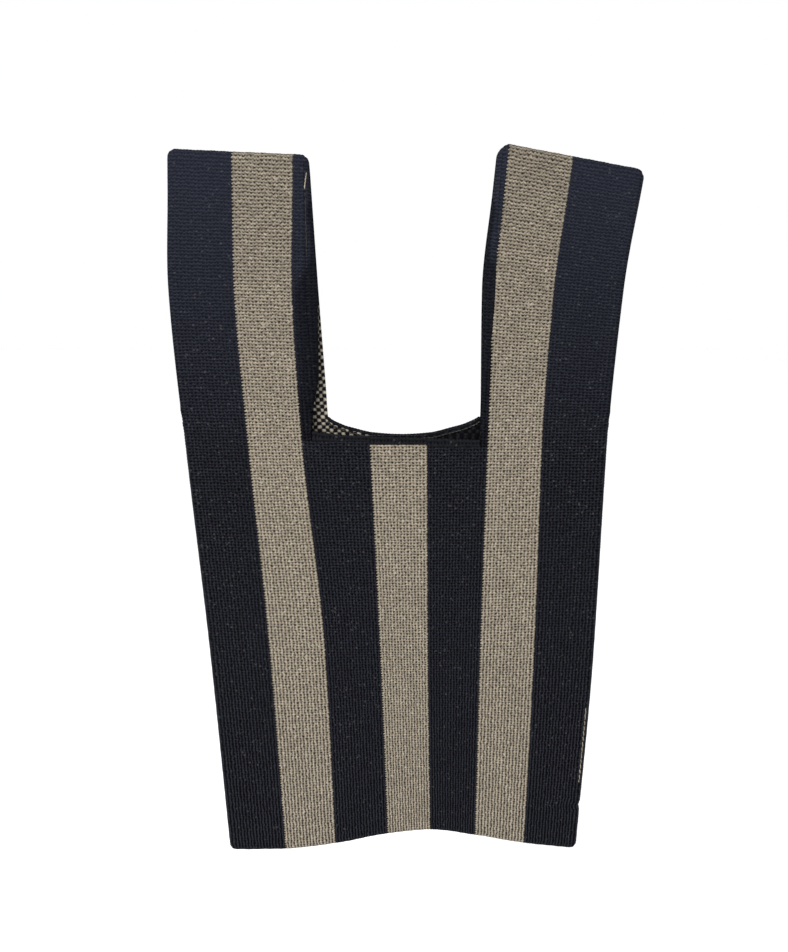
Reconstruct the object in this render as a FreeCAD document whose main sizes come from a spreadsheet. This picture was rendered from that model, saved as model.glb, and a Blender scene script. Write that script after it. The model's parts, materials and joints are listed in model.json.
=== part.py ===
"""Knitted vest-style shopping bag with seven vertical stripes and two loop handles.

Frame: millimetres, X across the bag, Z up, Y from the front panel to the back panel.
The origin is where the bag hangs: midway between the two handle loops, just under their
top folds. The bag is two flat knitted layers with a gap between them, so the front panel
lies at negative Y, the back panel at positive Y, and each handle is a band that runs up
the front, folds over the top and comes down the back.
"""
import FreeCAD, Part
import os

import Sketcher

ZONES = [
    "navy_left",
    "beige_left",
    "navy_centre_left",
    "beige_centre",
    "navy_centre_right",
    "beige_right",
    "navy_right",
]
MOUTH_ZONES = ["navy_centre_left", "beige_centre", "navy_centre_right"]

# Driving dimensions in millimetres (slopes in degrees): alias, value, meaning.
SIZES = [
    ("knit_thickness", 2.4, "one layer of double-bed knit"),
    ("layer_gap", 5.0, "clear space between the front and back layers"),
    ("fold_clearance", 0.3, "gap between pieces that move against each other"),
    ("handle_length", 134.0, "hanging point down to the handle roots"),
    ("upper_length", 122.0, "handle roots down to the waist fold"),
    ("lower_length", 131.0, "waist fold down to the foot corners"),
    ("hem_height", 3.5, "folded hem along the neckline"),
    ("neck_left_dip", 0.6, "front neckline below the roots at the centre stripe's left side"),
    ("neck_right_dip", 1.9, "front neckline below the roots at the centre stripe's right side"),
    ("neck_corner_dip", 2.9, "front neckline below the roots at the right handle"),
    ("seam_width", 3.0, "linked seam along the sides and the foot"),
    ("neck_left_x", -113.6, "left side at the handle roots"),
    ("waist_left_x", -107.5, "left side at the waist fold"),
    ("foot_left_x", -102.7, "left side at the foot"),
    ("left_mid_height", 60.0, "left handle, hanging point down to its middle station"),
    ("left_outer_mid_x", -116.2, "left handle, outer edge at its middle"),
    ("left_outer_top_x", -111.6, "left handle, outer edge at its top"),
    ("left_beige_mid_x", -84.3, "left handle, outer side of the beige stripe at its middle"),
    ("left_beige_top_x", -82.0, "left handle, outer side of the beige stripe at its top"),
    ("left_navy_mid_x", -55.6, "left handle, inner side of the beige stripe at its middle"),
    ("left_navy_top_x", -52.8, "left handle, inner side of the beige stripe at its top"),
    ("left_inner_root_x", -47.5, "left handle, inner edge of the front leg at its root"),
    ("left_inner_mid_x", -43.2, "left handle, inner edge of the front leg at its middle"),
    ("left_inner_top_x", -46.8, "left handle, inner edge of the front leg at its top"),
    ("left_back_inner_mid_x", -43.0, "left handle, inner edge of the back leg at its middle"),
    ("left_back_inner_top_x", -46.5, "left handle, inner edge of the back leg at its top"),
    ("left_fold_x", -79.5, "left handle, middle of the top fold"),
    ("left_fold_depth", 2.3, "left handle, hanging point down to the fold's axis"),
    ("left_fold_slope", 3.6, "left handle, slope of the top fold"),
    ("right_mid_height", 60.0, "right handle, hanging point down to its middle station"),
    ("right_outer_mid_x", 108.0, "right handle, outer edge at its middle"),
    ("right_outer_top_x", 114.8, "right handle, outer edge at its top"),
    ("right_beige_mid_x", 74.8, "right handle, outer side of the beige stripe at its middle"),
    ("right_beige_top_x", 82.0, "right handle, outer side of the beige stripe at its top"),
    ("right_navy_mid_x", 45.6, "right handle, inner side of the beige stripe at its middle"),
    ("right_navy_top_x", 50.5, "right handle, inner side of the beige stripe at its top"),
    ("right_inner_root_x", 39.6, "right handle, inner edge of the front leg at its root"),
    ("right_inner_mid_x", 39.5, "right handle, inner edge of the front leg at its middle"),
    ("right_inner_top_x", 45.0, "right handle, inner edge of the front leg at its top"),
    ("right_back_inner_mid_x", 39.0, "right handle, inner edge of the back leg at its middle"),
    ("right_back_inner_top_x", 45.0, "right handle, inner edge of the back leg at its top"),
    ("right_fold_x", 79.2, "right handle, middle of the top fold"),
    ("right_fold_depth", 4.75, "right handle, hanging point down to the fold's axis"),
    ("right_fold_slope", 10.0, "right handle, slope of the top fold"),
    ("left_back_corner_x", -39.4, "left handle, corner of the back leg and the back neckline"),
    ("right_back_corner_x", 40.0, "right handle, corner of the back leg and the back neckline"),
    ("back_corner_rise", 9.0, "rise of the back neckline at its corners"),
    ("back_shoulder_rise", 4.8, "rise of the back neckline a little way in from its corners"),
    ("back_shoulder_width", 7.0, "how far in from its corners that is"),
    ("back_flare_width", 22.5, "how far the back legs reach in from their corners"),
]

# Widths of the seven stripe zones, left to right, at three heights, and how far the foot
# edge is drawn up at the eight zone boundaries.
NECK_WIDTHS = [32.4, 28.1, 35.7, 29.8, 32.0, 28.2, 32.8]
WAIST_WIDTHS = [33.4, 30.9, 30.8, 26.5, 29.2, 30.3, 32.4]
FOOT_WIDTHS = [32.9, 30.2, 31.1, 25.3, 26.7, 29.5, 30.3]
FOOT_LIFTS = [0.0, 0.0, 4.0, 11.0, 13.5, 9.5, 4.0, 1.5]

HANDLE_OVERRUN = 12.0
BLANK_LENGTH = 170.0
BLANK_WIDTH = 150.0


def fill_sheet(doc):
    """Write every driving dimension to the sheet, one row each, with its alias."""
    sheet = doc.addObject("Spreadsheet::Sheet", "Sizes")
    rows = list(SIZES)
    for number, width in enumerate(NECK_WIDTHS, start=1):
        rows.append((f"neck_width_{number}", width, "stripe width at the handle roots"))
    for number, width in enumerate(WAIST_WIDTHS, start=1):
        rows.append((f"waist_width_{number}", width, "stripe width at the waist fold"))
    for number, width in enumerate(FOOT_WIDTHS, start=1):
        rows.append((f"foot_width_{number}", width, "stripe width at the foot"))
    for number, lift in enumerate(FOOT_LIFTS, start=1):
        rows.append((f"foot_lift_{number}", lift, "rise of the foot edge at a boundary"))
    for row, (alias, value, meaning) in enumerate(rows, start=1):
        sheet.set(f"A{row}", meaning)
        sheet.set(f"B{row}", str(value))
        sheet.setAlias(f"B{row}", alias)
    doc.recompute()
    return sheet


def boundary(level, number):
    """Expression for the X of zone boundary 0 to 7 at the neck, waist or foot."""
    terms = [f"Sizes.{level}_left_x"]
    terms += [f"Sizes.{level}_width_{zone}" for zone in range(1, number + 1)]
    return " + ".join(terms)


ROOT_Z = "-Sizes.handle_length"
WAIST_Z = "-(Sizes.handle_length + Sizes.upper_length)"
LOWER_TOP_Z = f"{WAIST_Z} - Sizes.fold_clearance"
MOUTH_FOOT_Z = f"{WAIST_Z} + Sizes.fold_clearance"
HANDLE_ROOT_Z = f"{ROOT_Z} + Sizes.fold_clearance"
HEM_Z = f"{ROOT_Z} - Sizes.hem_height"
FRONT_FACE_Y = "-Sizes.layer_gap / 2"
BACK_FACE_Y = "Sizes.layer_gap / 2 + Sizes.knit_thickness"
HALF_DEPTH = "(Sizes.layer_gap / 2 + Sizes.knit_thickness)"


def upper_boundary(number, depth):
    """Expression for the X of a zone boundary at a depth below the handle roots."""
    neck = boundary("neck", number)
    waist = boundary("waist", number)
    return f"({neck}) + (({waist}) - ({neck})) * ({depth}) / Sizes.upper_length"


def foot_z(number):
    """Expression for the height of the foot edge at zone boundary 0 to 7."""
    return f"{WAIST_Z} - Sizes.lower_length + Sizes.foot_lift_{number + 1}"


def outline_pad(doc, sheet, label, corners, depth, face_y):
    """Body padded from a straight-sided outline in the XZ plane.

    corners is a list of (X expression, Z expression), depth the padded length towards -Y,
    and face_y the Y of the outline's own plane.
    """
    body = doc.addObject("PartDesign::Body", f"{label}_body")
    body.Label = label
    sketch = body.newObject("Sketcher::SketchObject", f"{label}_outline")
    plane = next(item for item in body.Origin.OriginFeatures if item.Role == "XZ_Plane")
    sketch.AttachmentSupport = [(plane, "")]
    sketch.MapMode = "FlatFace"
    places = [(float(sheet.evalExpression(x)), float(sheet.evalExpression(z))) for x, z in corners]
    count = len(places)
    for index in range(count):
        start = FreeCAD.Vector(*places[index], 0)
        end = FreeCAD.Vector(*places[(index + 1) % count], 0)
        sketch.addGeometry(Part.LineSegment(start, end), False)
    for index in range(count):
        sketch.addConstraint(Sketcher.Constraint("Coincident", index, 2, (index + 1) % count, 1))
    for index, (x_size, z_size) in enumerate(corners):
        x_rule = Sketcher.Constraint("DistanceX", -1, 1, index, 1, places[index][0])
        z_rule = Sketcher.Constraint("DistanceY", -1, 1, index, 1, places[index][1])
        x_number = sketch.addConstraint(x_rule)
        z_number = sketch.addConstraint(z_rule)
        sketch.setExpression(f"Constraints[{x_number}]", x_size)
        sketch.setExpression(f"Constraints[{z_number}]", z_size)
    pad = body.newObject("PartDesign::Pad", f"{label}_pad")
    pad.Profile = sketch
    pad.setExpression("Length", depth)
    body.Tip = pad
    body.setExpression("Placement.Base.y", face_y)
    return body


def front_upper_panels(doc, sheet):
    """Side stripes of the upper front panel, between the waist and the handle roots."""
    parts = []
    for number, zone in enumerate(ZONES):
        if zone in MOUTH_ZONES:
            continue
        corners = [
            (boundary("waist", number), WAIST_Z),
            (boundary("waist", number + 1), WAIST_Z),
            (boundary("neck", number + 1), ROOT_Z),
            (boundary("neck", number), ROOT_Z),
        ]
        label = f"front_upper_{zone}"
        parts.append(outline_pad(doc, sheet, label, corners, "Sizes.knit_thickness", FRONT_FACE_Y))
    return parts


def mouth_panels(doc, sheet):
    """Middle stripes of the upper front panel, which swing forward as the mouth opens."""
    first = ZONES.index(MOUTH_ZONES[0])
    last = first + len(MOUTH_ZONES)
    dips = {
        first: "0",
        first + 1: "Sizes.neck_left_dip",
        first + 2: "Sizes.neck_right_dip",
        last: "Sizes.neck_corner_dip",
    }
    gaps = {first: " + Sizes.fold_clearance", last: " - Sizes.fold_clearance"}
    foot_depth = "Sizes.upper_length - Sizes.fold_clearance"

    def edge(number, depth):
        x_size = upper_boundary(number, depth) + gaps.get(number, "")
        return (x_size, f"{ROOT_Z} - ({depth})")

    parts = []
    for number, zone in enumerate(MOUTH_ZONES, start=first):
        corners = [
            edge(number, foot_depth),
            edge(number + 1, foot_depth),
            edge(number + 1, f"{dips[number + 1]} + Sizes.hem_height"),
            edge(number, f"{dips[number]} + Sizes.hem_height"),
        ]
        label = f"mouth_{zone}"
        parts.append(outline_pad(doc, sheet, label, corners, "Sizes.knit_thickness", FRONT_FACE_Y))
    low_edge = [edge(number, f"{dips[number]} + Sizes.hem_height") for number in dips]
    top_edge = [edge(number, dips[number]) for number in list(dips)[:-1]]
    corner = [
        ("Sizes.right_inner_root_x", ROOT_Z),
        ("Sizes.right_inner_root_x", f"{ROOT_Z} - Sizes.neck_corner_dip"),
    ]
    hem = low_edge + [edge(last, "0")] + corner + list(reversed(top_edge))
    parts.append(
        outline_pad(doc, sheet, "front_neck_hem", hem, "Sizes.knit_thickness", FRONT_FACE_Y)
    )
    return parts


def back_upper_panels(doc, sheet):
    """Stripes of the upper back panel, and the hem along the back neckline."""
    parts = []
    for number, zone in enumerate(ZONES):
        depth = "Sizes.hem_height" if zone in MOUTH_ZONES else "0"
        top = f"{ROOT_Z} - {depth}"
        corners = [
            (boundary("waist", number), WAIST_Z),
            (boundary("waist", number + 1), WAIST_Z),
            (upper_boundary(number + 1, depth), top),
            (upper_boundary(number, depth), top),
        ]
        label = f"back_upper_{zone}"
        parts.append(outline_pad(doc, sheet, label, corners, "Sizes.knit_thickness", BACK_FACE_Y))
    first = ZONES.index(MOUTH_ZONES[0])
    last = first + len(MOUTH_ZONES)
    hem = [
        (upper_boundary(first, "Sizes.hem_height"), HEM_Z),
        (upper_boundary(last, "Sizes.hem_height"), HEM_Z),
        (boundary("neck", last), ROOT_Z),
        (boundary("neck", first), ROOT_Z),
    ]
    parts.append(
        outline_pad(doc, sheet, "back_neck_hem", hem, "Sizes.knit_thickness", BACK_FACE_Y)
    )
    return parts


def lower_panels(doc, sheet):
    """Stripes of both layers below the waist fold."""
    parts = []
    for side, face_y in (("front", FRONT_FACE_Y), ("back", BACK_FACE_Y)):
        for number, zone in enumerate(ZONES):
            corners = [
                (boundary("foot", number), foot_z(number)),
                (boundary("foot", number + 1), foot_z(number + 1)),
                (boundary("waist", number + 1), LOWER_TOP_Z),
                (boundary("waist", number), LOWER_TOP_Z),
            ]
            label = f"{side}_lower_{zone}"
            parts.append(outline_pad(doc, sheet, label, corners, "Sizes.knit_thickness", face_y))
    return parts


def seams(doc, sheet):
    """Linked seams that close the gap between the layers along the sides and the foot."""
    parts = []
    spans = [
        ("upper", "waist", WAIST_Z, WAIST_Z, "neck", ROOT_Z),
        ("lower", "foot", foot_z(0), foot_z(7), "waist", LOWER_TOP_Z),
    ]
    for half, low, left_low_z, right_low_z, high, high_z in spans:
        left = [
            (boundary(low, 0), left_low_z),
            (boundary(low, 0) + " + Sizes.seam_width", left_low_z),
            (boundary(high, 0) + " + Sizes.seam_width", high_z),
            (boundary(high, 0), high_z),
        ]
        right = [
            (boundary(low, 7) + " - Sizes.seam_width", right_low_z),
            (boundary(low, 7), right_low_z),
            (boundary(high, 7), high_z),
            (boundary(high, 7) + " - Sizes.seam_width", high_z),
        ]
        for side, corners in (("left", left), ("right", right)):
            label = f"{side}_side_seam_{half}"
            face_y = "Sizes.layer_gap / 2"
            parts.append(outline_pad(doc, sheet, label, corners, "Sizes.layer_gap", face_y))
    ends = [" + Sizes.seam_width"] + [""] * 6 + [" - Sizes.seam_width"]
    low_edge = [(boundary("foot", n) + ends[n], foot_z(n)) for n in range(8)]
    high_edge = [(x, f"{z} + Sizes.seam_width") for x, z in reversed(low_edge)]
    parts.append(
        outline_pad(
            doc, sheet, "bottom_seam", low_edge + high_edge, "Sizes.layer_gap", "Sizes.layer_gap / 2"
        )
    )
    return parts


def hairpin(doc, side):
    """Blank of one handle: two legs joined by a half-round fold, wider than the handle."""
    solids = []
    for name, radius in (("outer", HALF_DEPTH), ("inner", "(Sizes.layer_gap / 2)")):
        fold = doc.addObject("Part::Cylinder", f"{side}_{name}_fold")
        fold.setExpression("Radius", radius)
        fold.Height = BLANK_WIDTH
        turn = FreeCAD.Rotation(FreeCAD.Vector(0, 1, 0), 90)
        fold.Placement = FreeCAD.Placement(FreeCAD.Vector(-BLANK_WIDTH / 2, 0, 0), turn)
        legs = doc.addObject("Part::Box", f"{side}_{name}_legs")
        legs.Length = BLANK_WIDTH
        legs.setExpression("Width", f"2 * {radius}")
        legs.Height = BLANK_LENGTH
        legs.Placement.Base = FreeCAD.Vector(-BLANK_WIDTH / 2, 0, -BLANK_LENGTH)
        legs.setExpression("Placement.Base.y", f"-{radius}")
        solid = doc.addObject("Part::Fuse", f"{side}_{name}_loop")
        solid.Base = legs
        solid.Tool = fold
        solids.append(solid)
    blank = doc.addObject("Part::Cut", f"{side}_hairpin")
    blank.Base = solids[0]
    blank.Tool = solids[1]
    blank.Placement.Rotation = FreeCAD.Rotation(FreeCAD.Vector(0, 1, 0), 1)
    blank.setExpression("Placement.Rotation.Angle", f"Sizes.{side}_fold_slope")
    blank.setExpression("Placement.Base.x", f"Sizes.{side}_fold_x")
    blank.setExpression("Placement.Base.z", f"-Sizes.{side}_fold_depth")
    return blank


def handle(doc, sheet, side):
    """Three stripes of one handle, each cut from the same hairpin blank."""
    blank = hairpin(doc, side)
    mid_z = f"-Sizes.{side}_mid_height"
    top_z = str(HANDLE_OVERRUN)
    inward = "+" if side == "left" else "-"
    numbers = {"left": (0, 1, 2), "right": (7, 6, 5)}[side]
    edges = [
        [(boundary("neck", numbers[0]), HANDLE_ROOT_Z)],
        [(boundary("neck", numbers[1]), HANDLE_ROOT_Z)],
        [(boundary("neck", numbers[2]), HANDLE_ROOT_Z)],
    ]
    for edge, name in zip(edges, ("outer", "beige", "navy")):
        edge.append((f"Sizes.{side}_{name}_mid_x", mid_z))
        edge.append((f"Sizes.{side}_{name}_top_x", top_z))
    corner_x = f"Sizes.{side}_back_corner_x"
    edges.append(
        [
            (f"{corner_x} {inward} Sizes.back_flare_width", HANDLE_ROOT_Z),
            (
                f"{corner_x} {inward} Sizes.back_shoulder_width",
                f"{ROOT_Z} + Sizes.back_shoulder_rise",
            ),
            (corner_x, f"{ROOT_Z} + Sizes.back_corner_rise"),
            (f"Sizes.{side}_back_inner_mid_x", mid_z),
            (f"Sizes.{side}_back_inner_top_x", top_z),
        ]
    )
    depth = f"2 * {HALF_DEPTH} + 2"
    face_y = f"{HALF_DEPTH} + 1"
    parts = []
    for name, first, second in (("outer_navy", 0, 1), ("beige", 1, 2), ("inner_navy", 2, 3)):
        corners = edges[first] + list(reversed(edges[second]))
        prism = outline_pad(doc, sheet, f"{side}_{name}_prism", corners, depth, face_y)
        stripe = doc.addObject("Part::Common", f"{side}_handle_{name}_band")
        stripe.Base = blank
        stripe.Tool = prism
        parts.append(stripe)
    inner_edge = [
        (f"Sizes.{side}_inner_root_x", f"{ROOT_Z} - 1"),
        (f"Sizes.{side}_inner_mid_x", mid_z),
        (f"Sizes.{side}_inner_top_x", top_z),
        ("0", top_z),
        ("0", f"{ROOT_Z} - 1"),
    ]
    trim = outline_pad(
        doc, sheet, f"{side}_front_trim", inner_edge, f"{HALF_DEPTH} + 1", "0"
    )
    inner = doc.addObject("Part::Cut", f"{side}_handle_inner_band")
    inner.Base = parts[2]
    inner.Tool = trim
    parts[2] = inner
    for part, name in zip(parts, ("outer_navy", "beige", "inner_navy")):
        part.Label = f"{side}_handle_{name}"
    return parts


def check(doc, parts):
    """Stop if any object failed or any part is not one valid solid."""
    for item in doc.Objects:
        if "Invalid" in item.State or "Error" in item.State:
            raise RuntimeError(f"{item.Name} failed: {item.State}")
    for part in parts:
        shape = part.Shape
        if shape.isNull() or not shape.isValid() or len(shape.Solids) != 1:
            raise RuntimeError(f"{part.Label} is not one valid solid")


def main():
    """Build the bag and write one STEP file for each part."""
    doc = FreeCAD.newDocument("KnittedVestBag")
    sheet = fill_sheet(doc)
    parts = front_upper_panels(doc, sheet)
    parts += mouth_panels(doc, sheet)
    parts += back_upper_panels(doc, sheet)
    parts += lower_panels(doc, sheet)
    parts += seams(doc, sheet)
    parts += handle(doc, sheet, "left")
    parts += handle(doc, sheet, "right")
    doc.recompute()
    check(doc, parts)
    os.makedirs("parts", exist_ok=True)
    for part in parts:
        part.Shape.exportStep(f"parts/{part.Label}.step")
        box = part.Shape.BoundBox
        print(f"{part.Label}: {part.Shape.Volume:.0f} mm3, X {box.XMin:.1f} to {box.XMax:.1f}")
    print(f"{len(parts)} parts")


main()
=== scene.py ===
"""Knitted vest bag: the visible model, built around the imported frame.

Every stripe of the bag is a thick knitted sheet. A sheet is a grid of stitches laid on the
bag's soft form, so its outer face carries the relief of each stitch, its inner face shows
the reverse of the jacquard, and its finish is drawn in stitch coordinates.
"""
import json
import logging
import math
from dataclasses import dataclass, field
from enum import Enum

import bpy
import numpy as np
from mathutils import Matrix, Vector

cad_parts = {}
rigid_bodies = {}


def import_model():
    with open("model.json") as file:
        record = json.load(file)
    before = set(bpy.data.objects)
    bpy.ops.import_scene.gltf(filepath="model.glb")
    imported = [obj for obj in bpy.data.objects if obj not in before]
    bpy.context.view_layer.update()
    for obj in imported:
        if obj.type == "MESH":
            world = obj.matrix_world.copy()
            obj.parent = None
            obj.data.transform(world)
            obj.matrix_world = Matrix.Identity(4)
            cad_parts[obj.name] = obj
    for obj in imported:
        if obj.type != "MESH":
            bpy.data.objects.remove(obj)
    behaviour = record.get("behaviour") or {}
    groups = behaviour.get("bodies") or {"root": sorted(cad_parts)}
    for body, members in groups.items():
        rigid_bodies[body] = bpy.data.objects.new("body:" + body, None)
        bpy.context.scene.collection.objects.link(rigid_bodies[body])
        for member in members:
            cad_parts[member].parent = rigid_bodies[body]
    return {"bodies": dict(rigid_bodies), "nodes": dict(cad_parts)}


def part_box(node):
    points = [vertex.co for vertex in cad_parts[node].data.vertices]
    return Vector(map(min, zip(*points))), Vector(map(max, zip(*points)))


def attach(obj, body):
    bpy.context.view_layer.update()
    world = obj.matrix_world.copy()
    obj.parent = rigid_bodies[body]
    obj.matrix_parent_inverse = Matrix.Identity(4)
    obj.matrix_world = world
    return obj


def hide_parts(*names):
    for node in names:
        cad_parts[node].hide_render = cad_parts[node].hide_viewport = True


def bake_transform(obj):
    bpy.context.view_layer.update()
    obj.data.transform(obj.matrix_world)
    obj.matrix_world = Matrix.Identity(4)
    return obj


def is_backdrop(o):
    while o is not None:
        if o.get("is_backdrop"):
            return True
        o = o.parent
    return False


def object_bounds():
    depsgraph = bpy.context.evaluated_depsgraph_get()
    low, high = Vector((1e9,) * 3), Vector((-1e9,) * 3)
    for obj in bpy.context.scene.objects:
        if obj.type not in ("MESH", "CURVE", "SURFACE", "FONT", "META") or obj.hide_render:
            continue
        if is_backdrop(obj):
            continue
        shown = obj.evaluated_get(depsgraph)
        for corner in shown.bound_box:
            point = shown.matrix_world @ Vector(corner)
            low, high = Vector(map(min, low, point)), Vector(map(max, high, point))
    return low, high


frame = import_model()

LOG = logging.getLogger("knitted_vest_bag")
MM = 0.001
FULL_TURN = 2.0 * math.pi

# Where the camera and the lights aim.
TARGET_X, TARGET_Z = -4.8 * MM, -156 * MM

# Stitch rows from the handles' roots to a crest, from a crest to where the painted light at the
# crest ends, and from a crest to the foot.
CREST_COURSE = 82.0
CREST_LIGHT_COURSES = 90.0
LENGTH_COURSES = 235.0
# Stitch columns between the numbering of one stripe and of the next.
STRIPE_OFFSET = 37.0

# A declared width has to be over 10 mm. A narrower strip is declared at this width, which is
# not a measurement; its length and area are its own.
LEAST_FLAT_WIDTH = 10.5 * MM
# A sheet's flat width is this percentile of its rows' widths, which leaves out a flared end.
WIDTH_PERCENTILE = 96

# How far a stripe boundary hangs below the CAD foot, besides the sag they all share.
FOOT_DROP = {0: 1.9 * MM, 1: 0.6 * MM, 6: 0.4 * MM, 7: 2.2 * MM}
# Radius of a handle's top corners, by side and by whether it is the inner corner.
CORNER_RADIUS = {
    ("left", True): 2.2 * MM,
    ("left", False): 3.2 * MM,
    ("right", True): 6.0 * MM,
    ("right", False): 3.6 * MM,
}
# Millimetres above the root, and how far the left front inner edge is straight again there.
CURLED_BACK = ((9, 0.06), (14, 0.18), (19, 0.42), (24, 0.72), (32, 0.95))
# Millimetres above the root at which a back inner edge is read, how far its low end sags, and
# how high up that end reaches.
BACK_EDGE_STEPS = (0.6, 2.2, 4.6, 9.4, 24)
BACK_EDGE_SAG = {"left": 1.3 * MM, "right": 0.3 * MM}
BACK_EDGE_LOW = 12 * MM
# How far the right handle's inner edge stands in from the CAD edge.
RIGHT_INSET = 0.6 * MM
# Where a handle's front inner strip turns out of the light: how wide, below which height, and
# over how long a way it grows.
SHADOW_STEPS = ((3.5 * MM, -12 * MM, 12 * MM), (10.5 * MM, -40 * MM, 24 * MM))
# How much of a knit finish's height the stitch columns and rows give: the change from crest to
# foot, then the share at the crest.
COLUMN_SHARE = (-0.30, -0.04)
ROW_SHARE = (0.14, -0.26)
LATTICE_SHARE = -0.11
BRICK_SHARE = -0.10

ZONES = (
    "navy_left",
    "beige_left",
    "navy_centre_left",
    "beige_centre",
    "navy_centre_right",
    "beige_right",
    "navy_right",
)
MOUTH = range(2, 5)
LEFT_SIDE, RIGHT_SIDE = 0, len(ZONES)
BOUNDARIES = range(RIGHT_SIDE + 1)


class Yarn(Enum):
    """Which yarn shows on the outside of a piece."""

    NAVY = "navy_knit"
    BEIGE = "beige_knit"
    HEM = "hem_knit"
    SEAM = "seam_yarn"


class Face(Enum):
    """The two layers of the bag; the value is the sign of Y."""

    FRONT = -1
    BACK = 1


class Inside(Enum):
    """Which reverse a piece shows on its inner face: the birdseye of both yarns, or a darker copy of it that
    is painted shade.
    """

    LIGHT = "birdseye_light"
    # A darker copy of the birdseye, painted shade for inner faces that lie in the bag's shadow.
    DARK = "birdseye_painted_shade"


def zone_yarn(number: int) -> Yarn:
    """Return the yarn of a stripe zone, counted from the left."""
    return Yarn.BEIGE if "beige" in ZONES[number] else Yarn.NAVY


def zone_beside(number: int) -> tuple[str, bool]:
    """Return a stripe next to a boundary, and whether the boundary is its left one."""
    return (ZONES[number], True) if number < RIGHT_SIDE else (ZONES[-1], False)


def smoothstep(value: np.ndarray) -> np.ndarray:
    """Return value eased from 0 to 1, clipped outside that range."""
    part = np.clip(value, 0.0, 1.0)
    return part * part * (3.0 - 2.0 * part)


def rounding(distance: np.ndarray, radius: float) -> np.ndarray:
    """Return the height of a quarter round, 0 at an edge and 1 past its radius."""
    part = 1.0 - np.clip(distance / radius, 0.0, 1.0)
    return np.sqrt(np.clip(1.0 - part * part, 0.0, 1.0))


def standing_in(distance: np.ndarray, radius: float) -> np.ndarray:
    """Return how far a rounded corner's side stands in, at a distance from the corner's end."""
    part = np.clip(distance / radius, 0.0, 1.0)
    return radius * (1.0 - np.sqrt(1.0 - (1.0 - part) ** 2))


def bell(offset: np.ndarray, width: float) -> np.ndarray:
    """Return a smooth bump, 1 where the offset is 0 and fading over the width."""
    return np.exp(-((offset / width) ** 2))


def grids(across: np.ndarray, along: np.ndarray) -> tuple[np.ndarray, np.ndarray]:
    """Return both stitch coordinates on the full grid of rows and columns."""
    return across[None, :] + 0.0 * along[:, None], along[:, None] + 0.0 * across[None, :]


def add_object(name: str, data: bpy.types.ID) -> bpy.types.Object:
    """Make an object from its data and link it to the scene."""
    item = bpy.data.objects.new(name, data)
    bpy.context.scene.collection.objects.link(item)
    return item


def write_stitch(mesh: bpy.types.Mesh, stitch: np.ndarray) -> None:
    """Store each vertex's stitch coordinates, which the finishes read."""
    layer = mesh.attributes.new("stitch", "FLOAT_VECTOR", "POINT")
    layer.data.foreach_set("vector", stitch.ravel())


class Curve:
    """A smooth line through a few stations, straight beyond its ends."""

    def __init__(self, at: list[float], value: list[float]) -> None:
        """Sort the stations and set a slope at each.

        Args:
            at: Places of the stations.
            value: Value at each station.
        """
        order = np.argsort(at)
        self.at = np.array(at, float)[order]
        self.value = np.array(value, float)[order]
        steps = np.diff(self.value) / np.diff(self.at)
        before, after = steps[:-1], steps[1:]
        together = before * after
        safe = np.where(np.abs(before + after) < 1e-12, 1.0, before + after)
        inner = np.where(together > 0, 2.0 * together / safe, 0.0)
        self.slope = np.concatenate([steps[:1], inner, steps[-1:]])

    def __call__(self, place: np.ndarray) -> np.ndarray:
        """Evaluate the line.

        Args:
            place: Where to read it.

        Returns:
            The line's value at each place.
        """
        place = np.asarray(place, float)
        index = np.clip(np.searchsorted(self.at, place) - 1, 0, len(self.at) - 2)
        start, end = self.at[index], self.at[index + 1]
        span = end - start
        part = np.clip((place - start) / span, 0.0, 1.0)
        low, high = self.value[index], self.value[index + 1]
        rise, fall = self.slope[index] * span, self.slope[index + 1] * span
        square, cube = part**2, part**3
        inside = (
            (2 * cube - 3 * square + 1) * low
            + (cube - 2 * square + part) * rise
            + (3 * square - 2 * cube) * high
            + (cube - square) * fall
        )
        before = np.minimum(place - self.at[0], 0.0) * self.slope[0]
        after = np.maximum(place - self.at[-1], 0.0) * self.slope[-1]
        return inside + before + after


def node_points(node: str) -> np.ndarray:
    """Return a CAD node's vertices, in the row frame, one row each."""
    mesh = frame["nodes"][node].data
    points = np.empty(len(mesh.vertices) * 3)
    mesh.vertices.foreach_get("co", points)
    return points.reshape(-1, 3)


def corner(node: str, top: bool, left: bool) -> tuple[float, float]:
    """Find a corner of a four-sided CAD panel.

    Args:
        node: The panel's node.
        top: True for an upper corner.
        left: True for a left corner.

    Returns:
        The corner's X and Z.
    """
    points = node_points(node)
    middle = 0.5 * (points[:, 2].min() + points[:, 2].max())
    chosen = points[points[:, 2] > middle] if top else points[points[:, 2] < middle]
    index = chosen[:, 0].argmin() if left else chosen[:, 0].argmax()
    return float(chosen[index, 0]), float(chosen[index, 2])


def crossings(node: str, axis: int, value: float) -> np.ndarray:
    """Cut a CAD node with a plane.

    Args:
        node: The node to cut.
        axis: 0, 1 or 2 for a plane across X, Y or Z.
        value: The plane's place on that axis.

    Returns:
        The points where the node's edges cross the plane.
    """
    mesh = frame["nodes"][node].data
    points = node_points(node)
    ends = np.empty(len(mesh.edges) * 2, dtype=np.int64)
    mesh.edges.foreach_get("vertices", ends)
    first, second = points[ends[0::2]], points[ends[1::2]]
    before, after = first[:, axis] - value, second[:, axis] - value
    hit = before * after < 0
    part = (before[hit] / (before[hit] - after[hit]))[:, None]
    return first[hit] + (second[hit] - first[hit]) * part


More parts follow.
